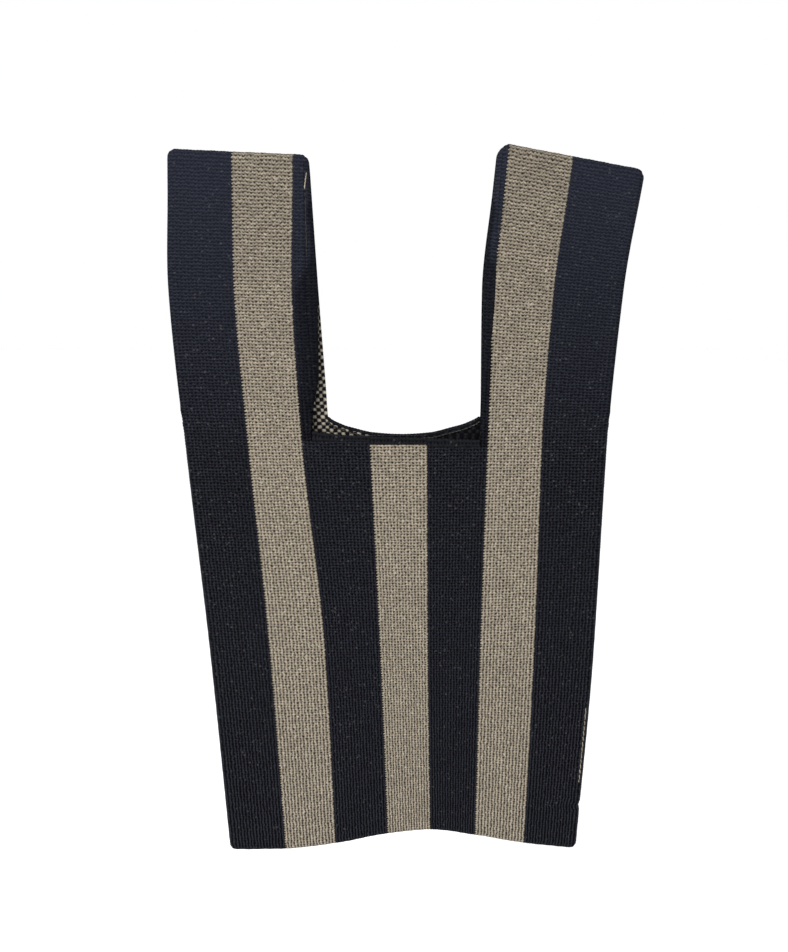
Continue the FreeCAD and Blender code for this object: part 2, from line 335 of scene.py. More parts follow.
@dataclass(frozen=True)
class Gauge:
    """Size of one stitch and how finely its relief is meshed."""

    wale: float = 1.84 * MM
    course: float = 1.65 * MM
    knit: float = 2.2 * MM
    relief: float = 0.42 * MM
    scallop: float = 0.42 * MM
    per_wale: int = 4
    per_course: int = 2

    def wales(self, yarn: Yarn) -> int:
        """Return how many stitch columns a stripe of this yarn has."""
        return 16 if yarn is Yarn.BEIGE else 18

    def columns(self, wales: int) -> np.ndarray:
        """Return the place of every mesh column of a sheet this many stitches wide."""
        return np.arange(wales * self.per_wale + 1) / self.per_wale

    def courses(self, first: float, last: float) -> np.ndarray:
        """Return the place of every mesh row from the first course to the last."""
        step = 1.0 / self.per_course
        return np.arange(first, last + step / 2, step)

    def extended(self, course: np.ndarray) -> np.ndarray:
        """Return the mesh rows with one more at each end."""
        step = 1.0 / self.per_course
        return np.concatenate([[course[0] - step], course, [course[-1] + step]])

    def height(self, wale: np.ndarray, course: np.ndarray) -> np.ndarray:
        """Give the stitch relief.

        Args:
            wale: Place across the stitch columns, one unit each.
            course: Place along the stitch rows, one unit each.

        Returns:
            Height above the valleys between stitches, in metres.
        """
        column = np.cos(FULL_TURN * wale)
        row = np.cos(FULL_TURN * course)
        uneven = 0.15 * np.sin(1.7 * wale + 0.9 * course) + 0.12 * np.sin(2.3 * course - 0.6 * wale)
        return self.relief * (0.5 - 0.28 * row - 0.22 * column - 0.1 * row * column) * (1.0 + uneven)


class BagForm:
    """Outline and soft depth of the bag, read from the CAD nodes."""

    def __init__(self, gauge: Gauge) -> None:
        """Read the stripe boundaries, the handles' edges, the folds and the foot."""
        self.gauge = gauge
        self.half = gauge.knit / 2
        self.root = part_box("front_upper_navy_left")[1][2]
        self.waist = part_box("front_upper_navy_left")[0][2]
        self.mid = self.root + 73.6 * MM
        self.high = -13 * MM
        self.edge_round = 3.6 * MM
        self.foot_round = 4.5 * MM
        self.corner_round = 4.6 * MM
        self.sag = 2.6 * MM
        self.spread = {LEFT_SIDE: -1.6 * MM, RIGHT_SIDE: 2.2 * MM}
        self.lift = {"left": 1.7 * MM, "right": 2.2 * MM}
        self.side_depth = 1.9 * MM
        self.front_rise = 3.2 * MM
        self.back_rise = 2.0 * MM
        self.handle_depth = 2.9 * MM
        self.upper_slack = 0.45
        self.wave, self.ripple = 0.32 * MM, 0.26 * MM
        self.handle_way, self.free_way, self.curl_way = 30 * MM, 14 * MM, 10 * MM
        self.bevel, self.mid_bevel, self.mid_way = 2.3 * MM, 3.4 * MM, 34 * MM
        self.curl = {Face.FRONT: 0.8, Face.BACK: 0.2}
        self.crease, self.crease_width = 0.6 * MM, 0.7 * MM
        self.nick, self.nick_height, self.nick_width = 0.9 * MM, 26 * MM, 2.2 * MM
        self.left_tilt = 0.022
        self.feet = [self._foot(number) for number in BOUNDARIES]
        self.drops = [self.sag + FOOT_DROP.get(number, 0.0) for number in BOUNDARIES]
        lowered = [z - drop for (_, z), drop in zip(self.feet, self.drops)]
        self.foot_line = Curve([x for x, _ in self.feet], lowered)
        self.boundaries = [self._boundary(number) for number in BOUNDARIES]
        self.inner_edges = {
            (side, face): self._inner_edge(side, face)
            for side in ("left", "right")
            for face in Face
        }
        self.folds = {side: self._fold(side) for side in ("left", "right")}

    def _foot(self, number: int) -> tuple[float, float]:
        """Return X and Z of a stripe boundary at the foot."""
        zone, left = zone_beside(number)
        return corner(f"back_lower_{zone}", top=False, left=left)

    def _boundary(self, number: int) -> Curve:
        """Return X of a stripe boundary as a smooth line over Z."""
        zone, left = zone_beside(number)
        foot_x, foot_z = self.feet[number]
        low_x, low_z = corner(f"back_upper_{zone}", top=False, left=left)
        top_x, top_z = corner(f"back_upper_{zone}", top=True, left=left)
        slope = (top_x - low_x) / (top_z - low_z)
        at = [foot_z, self.waist, self.root]
        value = [foot_x, low_x, low_x + slope * (self.root - low_z)]
        handle = {
            0: ("left_handle_outer_navy", False),
            1: ("left_handle_beige", False),
            2: ("left_handle_beige", True),
            5: ("right_handle_beige", False),
            6: ("right_handle_beige", True),
            7: ("right_handle_outer_navy", True),
        }.get(number)
        if handle:
            node, outermost = handle
            for z in (self.mid, self.high):
                cut = crossings(node, 2, z)[:, 0]
                at.append(z)
                value.append(float(cut.max() if outermost else cut.min()))
        return Curve(at, value)

    def _inner_edge(self, side: str, face: Face) -> Curve:
        """Return X of a handle's inner edge on one leg as a line over Z."""
        at = [self.root + 1 * MM, self.mid, self.high]
        if face is Face.BACK:
            at = [self.root + step * MM for step in BACK_EDGE_STEPS] + at[1:]
        value = []
        for z in at:
            cut = crossings(f"{side}_handle_inner_navy", 2, z)
            leg = cut[cut[:, 1] * face.value > 0][:, 0]
            value.append(float(leg.max() if side == "left" else leg.min() + RIGHT_INSET))
        if face is Face.BACK:
            at = [z - BACK_EDGE_SAG[side] * float(z < self.root + BACK_EDGE_LOW) for z in at]
        elif side == "left":
            low, straight = value[:2]
            at.extend(self.root + step * MM for step, _ in CURLED_BACK)
            value.extend(low + (straight - low) * share for _, share in CURLED_BACK)
        return Curve(at, value)

    def _fold(self, side: str) -> tuple[float, float, float]:
        """Return X and Z of a point on a handle's crest, and the crest's slope."""
        node = f"{side}_handle_beige"
        low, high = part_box(node)
        first, last = low[0] + 6 * MM, high[0] - 8 * MM
        rise = [crossings(node, 0, x)[:, 2].max() for x in (first, last)]
        return first, float(rise[0]), float((rise[1] - rise[0]) / (last - first))

    def crest(self, side: str, x: np.ndarray) -> np.ndarray:
        """Return Z of the middle surface along the top of a handle's fold."""
        at, height, slope = self.folds[side]
        tilt = self.left_tilt if side == "left" else 0.0
        return height + (slope + tilt) * (x - at) - self.half + self.lift[side]

    def edge(self, number: int, z: np.ndarray) -> np.ndarray:
        """Give X of the middle surface at a stripe boundary.

        Args:
            number: The boundary, from LEFT_SIDE to RIGHT_SIDE.
            z: Heights.

        Returns:
            X at each height; the two sides stand in by half the knit and round off at the foot.
        """
        x = self.boundaries[number](z)
        inward = {LEFT_SIDE: 1.0, RIGHT_SIDE: -1.0}.get(number)
        if inward is None:
            return x
        foot = self.feet[number][1]
        rounded = standing_in(z - foot + self.drops[number], self.corner_round)
        if number == RIGHT_SIDE:
            x = x - self.nick * bell(z - foot - self.nick_height, self.nick_width)
        return x + inward * (self.half + rounded) + self.spread[number]

    def depth(self, x: np.ndarray, z: np.ndarray, face: Face) -> np.ndarray:
        """Give the distance of a layer's middle from the bag's middle plane.

        Args:
            x: Places across the bag.
            z: Heights.
            face: Front or back layer.

        Returns:
            The distance at each place, in metres.
        """
        left, right = self.edge(LEFT_SIDE, z), self.edge(RIGHT_SIDE, z)
        centre, reach = 0.5 * (left + right), 0.5 * (right - left)
        side = np.clip((x - centre) / reach, -1.0, 1.0)
        nearest = np.maximum(reach - np.abs(x - centre), 0.0)
        fullness = 1.0 - self.upper_slack * smoothstep((z - self.waist) / (self.root - self.waist))
        rise = self.front_rise if face is Face.FRONT else self.back_rise
        soft = self.wave * np.sin(x / (17 * MM) + z / (43 * MM) + face.value)
        soft += self.ripple * np.sin(z / (21 * MM) - x / (38 * MM))
        full = self.side_depth + rise * (1.0 - side**2) * fullness + soft * (1.0 - side**4)
        up = smoothstep((z - self.root) / self.handle_way)
        full = full * (1.0 - up) + (self.handle_depth + 0.6 * soft) * up
        free = smoothstep((z - self.root) / self.free_way)
        closing = rounding(nearest, self.edge_round)
        full = full * (closing * (1.0 - free) + (0.5 + 0.5 * closing) * free)
        curl = smoothstep((z - self.root + 2 * MM) / self.curl_way)
        for name, way in (("left", 1.0), ("right", -1.0)):
            inner = (self.inner_edges[(name, face)](z) - x) * way
            here = (x * way < 0) & (inner > -3 * MM)
            turn = self.bevel + self.mid_bevel * bell(z - self.mid, self.mid_way)
            bevel = 1.0 - smoothstep(np.maximum(inner, 0.0) / turn)
            curled = 1.0 - self.curl[face] * curl * bevel
            crease = bell(inner - turn, self.crease_width) * curl * (face is Face.FRONT)
            full = np.where(here, full * curled - self.crease * crease, full)
        above = z - self.foot_line(x) - self.half
        return full * rounding(np.maximum(above, 0.0), self.foot_round)

    def depth_at(self, x: float, z: float, face: Face) -> float:
        """Return the distance of a layer's middle from the middle plane at one place."""
        return float(self.depth(np.array([x]), np.array([z]), face)[0])

    def on_front(self, x: float, z: float, lift: float) -> tuple[float, float, float]:
        """Return a point this far out of the front's outer face."""
        return x, -self.depth_at(x, z, Face.FRONT) - self.half - lift, z

    def layer(self, x: np.ndarray, z: np.ndarray, face: Face) -> np.ndarray:
        """Return points of a layer's middle surface at X and Z."""
        return np.stack([x, face.value * self.depth(x, z, face), z], axis=-1)


@dataclass
class Sheet:
    """A thick knitted sheet, as grids of its middle surface and stitch coordinates.

    The middle grid has one more row at each end than the sheet, so that a sheet and the
    next one along the same stripe share their normals where they meet.
    """

    name: str
    middle: np.ndarray
    wale: np.ndarray
    course: np.ndarray
    flip: bool = False
    edge: np.ndarray | None = None
    thickness: float = 1.0
    relief: float | np.ndarray = 1.0
    # Height above which the inner face takes the darker birdseye with painted shade.
    shaded_above: float | None = None
    scallop: tuple[float, float] = (1.0, 1.0)
    shadow: np.ndarray | None = None

    def build(
        self, gauge: Gauge, outside: bpy.types.Material, inside: list[bpy.types.Material]
    ) -> bpy.types.Object:
        """Mesh the sheet.

        Args:
            gauge: Stitch size and relief.
            outside: Finish of the outer face.
            inside: Finishes of the inner face: the main one, then a darker one with painted shade, used above
                a given height.

        Returns:
            The new object, at the origin, closed on all sides.
        """
        middle = self._scalloped(gauge)
        normal = self._normals(middle)[1:-1]
        middle = middle[1:-1]
        half = np.full(self.wale.shape, gauge.knit / 2 * self.thickness)
        relief = gauge.height(self.wale, self.course) * self.relief
        if self.edge is not None:
            round_off = np.maximum(rounding(self.edge, gauge.knit * 0.6), 0.1)
            half = half * round_off
            relief = relief * (0.35 + 0.65 * round_off)
        outer = middle + normal * (half + relief - 0.5 * gauge.relief)[..., None]
        inner = middle - normal * half[..., None]
        rows = np.arange(0, outer.shape[0], gauge.per_course)
        cols = np.arange(0, outer.shape[1], gauge.per_wale)
        inner = inner[np.ix_(rows, cols)]
        mesh = self._mesh(outer, inner, rows, cols)
        stitch_inner = [grid[np.ix_(rows, cols)].ravel() for grid in (self.wale, self.course)]
        stitch = np.zeros((len(mesh.vertices), 3), dtype=np.float32)
        stitch[:, 0] = np.concatenate([self.wale.ravel(), stitch_inner[0]])
        stitch[:, 1] = np.concatenate([self.course.ravel(), stitch_inner[1]])
        # The third stitch part is painted shade, which the outer finish reads.
        if self.shadow is not None:
            stitch[: self.shadow.size, 2] = self.shadow.ravel()
        write_stitch(mesh, stitch)
        for material in (outside, *inside):
            mesh.materials.append(material)
        return add_object(self.name, mesh)

    def flat(self) -> tuple[float, float]:
        """Return the sheet's width and length along its own surface, in metres."""
        middle = self.middle[1:-1]
        widths = np.linalg.norm(np.diff(middle, axis=1), axis=-1).sum(axis=1)
        across = np.percentile(widths, WIDTH_PERCENTILE)
        along = np.linalg.norm(np.diff(middle, axis=0), axis=-1).sum(axis=0).max()
        return float(across), float(along)

    def _scalloped(self, gauge: Gauge) -> np.ndarray:
        """Return the middle surface with its side edges scalloped stitch by stitch."""
        wale = np.pad(self.wale, ((1, 1), (0, 0)), mode="edge")
        course = np.pad(self.course, ((1, 1), (0, 0)), mode="reflect", reflect_type="odd")
        first, last = wale[:, :1], wale[:, -1:]
        wave = gauge.scallop * np.cos(FULL_TURN * course)
        near = np.clip(1.0 - np.abs(wale - first), 0.0, 1.0) * self.scallop[0]
        far = np.clip(1.0 - np.abs(last - wale), 0.0, 1.0) * self.scallop[1]
        across = np.gradient(self.middle, axis=1)
        across /= np.maximum(np.linalg.norm(across, axis=-1, keepdims=True), 1e-9)
        return self.middle + across * (wave * (near + far))[..., None]

    def _normals(self, middle: np.ndarray) -> np.ndarray:
        """Return unit normals of the middle surface, pointing out of the bag."""
        across = np.gradient(middle, axis=1)
        along = np.gradient(middle, axis=0)
        normal = np.cross(across, along)
        normal /= np.maximum(np.linalg.norm(normal, axis=-1, keepdims=True), 1e-12)
        return -normal if self.flip else normal

    def _mesh(
        self, outer: np.ndarray, inner: np.ndarray, rows: np.ndarray, cols: np.ndarray
    ) -> bpy.types.Mesh:
        """Join the outer grid, the coarser inner grid and the walls between them.

        Args:
            outer: Outer points, by row and column.
            inner: Inner points, at the given rows and columns only.
            rows: Outer rows that the inner grid keeps.
            cols: Outer columns that the inner grid keeps.

        Returns:
            A closed mesh.
        """
        height, width = outer.shape[:2]
        high, wide = inner.shape[:2]
        out = np.arange(height * width).reshape(height, width)
        back = np.arange(high * wide).reshape(high, wide) + height * width
        faces = [self._quads(out, self.flip), self._quads(back, not self.flip)]
        kinds = [np.zeros(len(faces[0]), int), np.ones(len(faces[1]), int)]
        if self.shaded_above is not None:
            kinds[1] += inner[:-1, :-1, 2].ravel() > self.shaded_above
        rings = (
            (out[0], back[0], cols, True),
            (out[:, -1], back[:, -1], rows, True),
            (out[-1], back[-1], cols, False),
            (out[:, 0], back[:, 0], rows, False),
        )
        for line, below, stops, turned in rings:
            wall = np.array([
                np.concatenate([below[[k + 1, k]], line[stops[k]: stops[k + 1] + 1]])
                for k in range(len(stops) - 1)
            ])
            if turned != self.flip:
                wall = wall[:, ::-1]
            faces.append(wall)
            kinds.append(np.zeros(len(wall), int))
        points = np.concatenate([outer.reshape(-1, 3), inner.reshape(-1, 3)])
        mesh = bpy.data.meshes.new(self.name)
        mesh.vertices.add(len(points))
        mesh.vertices.foreach_set("co", points.astype(np.float32).ravel())
        loops = np.concatenate([group.ravel() for group in faces])
        totals = np.concatenate([np.full(len(group), group.shape[1]) for group in faces])
        mesh.loops.add(len(loops))
        mesh.loops.foreach_set("vertex_index", loops.astype(np.int32))
        mesh.polygons.add(len(totals))
        starts = np.concatenate([[0], np.cumsum(totals)[:-1]])
        mesh.polygons.foreach_set("loop_start", starts.astype(np.int32))
        mesh.polygons.foreach_set("material_index", np.concatenate(kinds).astype(np.int32))
        mesh.update(calc_edges=True)
        mesh.validate()
        self._sharpen(mesh, (out, back))
        return mesh

    @staticmethod
    def _quads(grid: np.ndarray, flip: bool) -> np.ndarray:
        """Return the four-sided faces of a grid of vertex numbers."""
        quads = np.stack([grid[:-1, :-1], grid[:-1, 1:], grid[1:, 1:], grid[1:, :-1]], axis=-1)
        quads = quads.reshape(-1, 4)
        return quads[:, ::-1] if flip else quads

    @staticmethod
    def _sharpen(mesh: bpy.types.Mesh, grids: tuple[np.ndarray, np.ndarray]) -> None:
        """Mark the rims of both grids sharp and shade the rest smooth."""
        rim = np.zeros(len(mesh.vertices), int)
        for number, grid in enumerate(grids, start=1):
            for line in (grid[0], grid[-1], grid[:, 0], grid[:, -1]):
                rim[line] = number
        ends = np.empty(len(mesh.edges) * 2, dtype=np.int64)
        mesh.edges.foreach_get("vertices", ends)
        first, second = rim[ends[0::2]], rim[ends[1::2]]
        sharp = (first == second) & (first > 0)
        mesh.shade_smooth()
        layer = mesh.attributes.get("sharp_edge") or mesh.attributes.new("sharp_edge", "BOOLEAN", "EDGE")
        layer.data.foreach_set("value", sharp)


@dataclass(frozen=True)
class KnitFinish:
    """Colours and surface of a knitted face, drawn in stitch coordinates."""

    name: str
    # gap, shade and light colour the stitch relief from valley to top: partly the yarns' own colour, partly
    # painted shade of the relief.
    gap: tuple[float, float, float]
    shade: tuple[float, float, float]
    light: tuple[float, float, float]
    fleck: tuple[float, float, float]
    # The crest colour and its share paint light near the handles' crests: a painted bluish highlight on the
    # navy, painted shade on the beige.
    crest_light_colour: tuple[float, float, float] = (0.0, 0.0, 0.0)
    flecks: float = 0.0
    crest_light_share: float = 0.0
    contrast: float = 0.36
    bump: float = 0.6
    sheen: float = 0.0
    gloss: float = 0.06
    roughness: float = 0.88


@dataclass(frozen=True)
class CheckFinish:
    """Colours of the birdseye reverse, a small check of both yarns."""

    name: str
    dark: tuple[float, float, float]
    light: tuple[float, float, float]
    cell: float = 1.12
    bump: float = 0.7
    gloss: float = 0.05
    roughness: float = 0.9


NAVY = KnitFinish(
    name="navy_knit",
    gap=(0.0004, 0.0004, 0.0006),
    shade=(0.0018, 0.0020, 0.0031),
    light=(0.0184, 0.0196, 0.0254),
    fleck=(0.045, 0.044, 0.044),
    # Painted bluish highlight towards the handles' crests.
    crest_light_colour=(0.0195, 0.0224, 0.0362),
    flecks=0.012,
    crest_light_share=0.33,
    gloss=0.03,
)
BEIGE = KnitFinish(
    name="beige_knit",
    gap=(0.006, 0.0045, 0.003),
    shade=(0.092, 0.077, 0.057),
    light=(0.296, 0.257, 0.201),
    fleck=(0.32, 0.285, 0.23),
    # Painted shade towards the handles' crests.
    crest_light_colour=(0.030, 0.027, 0.021),
    flecks=0.02,
    crest_light_share=0.26,
    bump=0.8,
    sheen=0.05,
    gloss=0.1,
)
HEM = KnitFinish(
    name="hem_knit",
    gap=(0.0006, 0.0006, 0.0008),
    shade=(0.0030, 0.0032, 0.0042),
    light=(0.0095, 0.0100, 0.0125),
    fleck=(0.04, 0.04, 0.042),
    flecks=0.03,
)
SEAM = KnitFinish(
    name="seam_yarn",
    gap=(0.0010, 0.0010, 0.0014),
    shade=(0.0050, 0.0054, 0.0072),
    light=(0.0150, 0.0160, 0.0205),
    fleck=(0.12, 0.105, 0.08),
    flecks=0.08,
)
LOOSE = KnitFinish(
    name="loose_beige_yarn",
    gap=(0.06, 0.05, 0.04),
    shade=(0.17, 0.145, 0.11),
    light=(0.30, 0.26, 0.21),
    fleck=(0.34, 0.31, 0.26),
    flecks=0.05,
)
CHAIN = KnitFinish(
    name="chain_yarn",
    gap=(0.002, 0.002, 0.002),
    shade=(0.014, 0.0135, 0.013),
    light=(0.055, 0.052, 0.047),
    fleck=(0.12, 0.11, 0.1),
    flecks=0.05,
)
BIRDSEYE_LIGHT = CheckFinish(name="birdseye_light", dark=(0.004, 0.004, 0.005), light=(0.29, 0.26, 0.21))
# A darker copy of the birdseye, navy on near-black: painted shade for inner faces in the bag's shadow.
BIRDSEYE_SHADED = CheckFinish(name="birdseye_painted_shade", dark=(0.0015, 0.0015, 0.002), light=(0.010, 0.0105, 0.013))


class Graph:
    """A small helper that writes a material's node tree."""

    def __init__(self, name: str) -> None:
        """Make the material with an empty tree."""
        self.material = bpy.data.materials.new(name)
        self.material.use_nodes = True
        self.tree = self.material.node_tree
        self.tree.nodes.clear()

    def add(self, kind: str, **inputs: object) -> bpy.types.Node:
        """Add a node.

        Args:
            kind: The node's type, without the ShaderNode prefix.
            inputs: Socket values or sockets to link, by name with _ for a space.

        Returns:
            The new node.
        """
        node = self.tree.nodes.new("ShaderNode" + kind)
        for name, value in inputs.items():
            self.plug(node.inputs[name.replace("_", " ")], value)
        return node

    def plug(self, socket: bpy.types.NodeSocket, value: object) -> None:
        """Link a socket to another, or set its value."""
        if isinstance(value, bpy.types.NodeSocket):
            self.tree.links.new(value, socket)
        else:
            socket.default_value = value

    def math(self, operation: str, *values: object, clamp: bool = False) -> bpy.types.NodeSocket:
        """Add a Math node and return its result."""
        node = self.tree.nodes.new("ShaderNodeMath")
        node.operation = operation
        node.use_clamp = clamp
        for socket, value in zip(node.inputs, values):
            self.plug(socket, value)
        return node.outputs[0]

    def mix(self, factor: object, first: object, second: object, blend: str = "MIX") -> bpy.types.NodeSocket:
        """Add a colour Mix node and return its result."""
        node = self.tree.nodes.new("ShaderNodeMix")
        node.data_type = "RGBA"
        node.blend_type = blend
        self.plug(node.inputs[0], factor)
        self.plug(node.inputs[6], self._colour(first))
        self.plug(node.inputs[7], self._colour(second))
        return node.outputs[2]

    def random(self, *parts: object) -> bpy.types.NodeSocket:
        """Return a random number that is the same for equal whole-number parts."""
        combine = self.tree.nodes.new("ShaderNodeCombineXYZ")
        for socket, value in zip(combine.inputs, parts):
            self.plug(socket, value)
        noise = self.tree.nodes.new("ShaderNodeTexWhiteNoise")
        noise.noise_dimensions = "3D"
        self.plug(noise.inputs["Vector"], combine.outputs[0])
        return noise.outputs["Value"]

    def finish(
        self, colour: object, height: object, bump: float, roughness: object, gloss: float, sheen: float = 0.0
    ) -> bpy.types.Material:
        """Close the tree with a bumped surface.

        Args:
            colour: Base colour socket.
            height: Relief socket, 0 to 1.
            bump: Strength of the relief.
            roughness: Roughness value or socket.
            gloss: How strongly the surface reflects, 0.5 for a smooth plastic.
            sheen: Weight of the fibre sheen.

        Returns:
            The finished material.
        """
        relief = self.add("Bump", Strength=bump, Distance=0.45 * MM, Height=height)
        surface = self.add(
            "BsdfPrincipled",
            Base_Color=colour,
            Roughness=roughness,
            Sheen_Weight=sheen,
            Sheen_Roughness=0.5,
            Specular_IOR_Level=gloss,
            Normal=relief.outputs[0],
        )
        self.add("OutputMaterial", Surface=surface.outputs[0])
        return self.material

    @staticmethod
    def _colour(value: object) -> object:
        """Return a colour as four numbers, or a socket unchanged."""
        return (*value, 1.0) if isinstance(value, tuple) else value


class Dyer:
    """Makes each finish's material once."""

    def __init__(self) -> None:
        """Start with no materials made."""
        self.made: dict[str, bpy.types.Material] = {}

    def material(self, finish: KnitFinish | CheckFinish) -> bpy.types.Material:
        """Return a finish's material."""
        if finish.name not in self.made:
            write = self._knit if isinstance(finish, KnitFinish) else self._check
            self.made[finish.name] = write(finish)
        return self.made[finish.name]

    @staticmethod
    def _stitch(graph: Graph) -> tuple[bpy.types.NodeSocket, bpy.types.NodeSocket, bpy.types.NodeSocket]:
        """Return slightly wandering wale and course sockets, and the stitch vector."""
        stitch = graph.add("Attribute")
        stitch.attribute_name = "stitch"
        vector = stitch.outputs["Vector"]
        wander = graph.add("TexNoise", Vector=vector, Scale=0.55, Detail=2.0)
        parts = graph.add("SeparateXYZ", Vector=vector)
        drift = graph.add("SeparateColor", Color=wander.outputs["Color"])
        across = graph.math("MULTIPLY_ADD", drift.outputs[0], 0.9, parts.outputs[0])
        along = graph.math("MULTIPLY_ADD", drift.outputs[1], 0.9, parts.outputs[1])
        return graph.math("SUBTRACT", across, 0.45), graph.math("SUBTRACT", along, 0.45), vector

    def _knit(self, finish: KnitFinish) -> bpy.types.Material:
        """Write the tree of a knitted face: slanted stitch legs with dark gaps between."""
        graph = Graph(finish.name)
        wale, course, vector = self._stitch(graph)
        across = graph.math("COSINE", graph.math("MULTIPLY", wale, FULL_TURN))
        slanted = graph.math("MULTIPLY_ADD", graph.math("PINGPONG", wale, 0.5), 0.6, course)
        along = graph.math("COSINE", graph.math("MULTIPLY", slanted, FULL_TURN))
        lattice = graph.math("MULTIPLY", across, along)
        pairs = [graph.math("COSINE", graph.math("MULTIPLY", place, math.pi)) for place in (wale, course)]
        brick = graph.math("MULTIPLY", pairs[0], pairs[1])
        crest = CREST_COURSE / LENGTH_COURSES
        low = graph.math("MULTIPLY_ADD", course, 1.0 / LENGTH_COURSES, crest, clamp=True)
        columns = graph.math("MULTIPLY", across, graph.math("MULTIPLY_ADD", low, *COLUMN_SHARE))
        rows = graph.math("MULTIPLY", along, graph.math("MULTIPLY_ADD", low, *ROW_SHARE))
        bulge = graph.math("ADD", rows, graph.math("ADD", columns, 0.56))
        bulge = graph.math("MULTIPLY_ADD", brick, BRICK_SHARE, bulge)
        bulge = graph.math("MULTIPLY_ADD", lattice, LATTICE_SHARE, bulge)
        fibre = graph.add("TexNoise", Vector=vector, Scale=2.2, Detail=3.0, Roughness=0.6)
        rough = graph.math("MULTIPLY_ADD", fibre.outputs[0], 1.1, -0.55)
        height = graph.math("ADD", bulge, rough, clamp=True)
        own = graph.random(graph.math("FLOOR", wale), graph.math("FLOOR", course), 0.0)
        cloud = graph.add("TexNoise", Vector=vector, Scale=0.08, Detail=2.0)
        tone = graph.math("MULTIPLY_ADD", own, finish.contrast, 1.0 - 0.5 * finish.contrast)
        tone = graph.math("MULTIPLY", tone, graph.math("MULTIPLY_ADD", cloud.outputs[0], 0.16, 0.92))
        # The colour follows the stitch relief, dark in the gaps and light on the legs' tops: partly the
        # yarns' own colour, partly painted shade of the relief.
        ramp = graph.add("ValToRGB", Fac=height)
        valley, top = ramp.color_ramp.elements
        valley.position, valley.color = 0.2, (*finish.gap, 1.0)
        top.position, top.color = 1.0, (*finish.light, 1.0)
        ramp.color_ramp.elements.new(0.46).color = (*finish.shade, 1.0)
        fine = [graph.math("FLOOR", graph.math("MULTIPLY", place, 2.0)) for place in (wale, course)]
        speck = graph.math("GREATER_THAN", graph.random(fine[0], fine[1], 7.0), 1.0 - finish.flecks)
        colour = graph.mix(graph.math("MULTIPLY", speck, 0.5), ramp.outputs[0], finish.fleck)
        shade = graph.add("CombineColor", Red=tone, Green=tone, Blue=tone)
        colour = graph.mix(1.0, colour, shade.outputs[0], "MULTIPLY")
        parts = graph.add("SeparateXYZ", Vector=vector)
        # Painted light at each handle's crest: the colour mixes into the crest colour over the rows near it.
        near = graph.math("ABSOLUTE", graph.math("ADD", parts.outputs[1], CREST_COURSE))
        near = graph.math("MULTIPLY_ADD", near, -1.0 / CREST_LIGHT_COURSES, 1.0, clamp=True)
        colour = graph.mix(graph.math("MULTIPLY", near, finish.crest_light_share), colour, finish.crest_light_colour)
        # Painted shade: the stitch vector's third part darkens the colour by up to half, where a handle's
        # front inner strip turns out of the light.
        colour = graph.mix(graph.math("MULTIPLY", parts.outputs[2], 0.5), colour, (0.0, 0.0, 0.0))
        roughness = graph.math("MULTIPLY_ADD", fibre.outputs[0], 0.12, finish.roughness - 0.06)
        return graph.finish(colour, height, finish.bump, roughness, finish.gloss, finish.sheen)

    def _check(self, finish: CheckFinish) -> bpy.types.Material:
        """Write the tree of the birdseye reverse: a small uneven check of two yarns."""
        graph = Graph(finish.name)
        wale, course, vector = self._stitch(graph)
        column = graph.math("FLOOR", graph.math("DIVIDE", wale, finish.cell))
        row = graph.math("FLOOR", graph.math("DIVIDE", course, finish.cell))
        odd = graph.math("MODULO", graph.math("ABSOLUTE", graph.math("ADD", column, row)), 2.0)
        fibre = graph.add("TexNoise", Vector=vector, Scale=2.6, Detail=3.0, Roughness=0.65)
        across = graph.math("SINE", graph.math("MULTIPLY", wale, math.pi / finish.cell))
        along = graph.math("SINE", graph.math("MULTIPLY", course, math.pi / finish.cell))
        bead = graph.math("ABSOLUTE", graph.math("MULTIPLY", across, along))
        bead = graph.math("MULTIPLY", bead, 0.75)
        height = graph.math("MULTIPLY_ADD", fibre.outputs[0], 0.5, bead, clamp=True)
        colour = graph.mix(odd, finish.dark, finish.light)
        colour = graph.mix(graph.math("SUBTRACT", 1.0, height, clamp=True), colour, finish.dark)
        return graph.finish(colour, height, finish.bump, finish.roughness, finish.gloss)


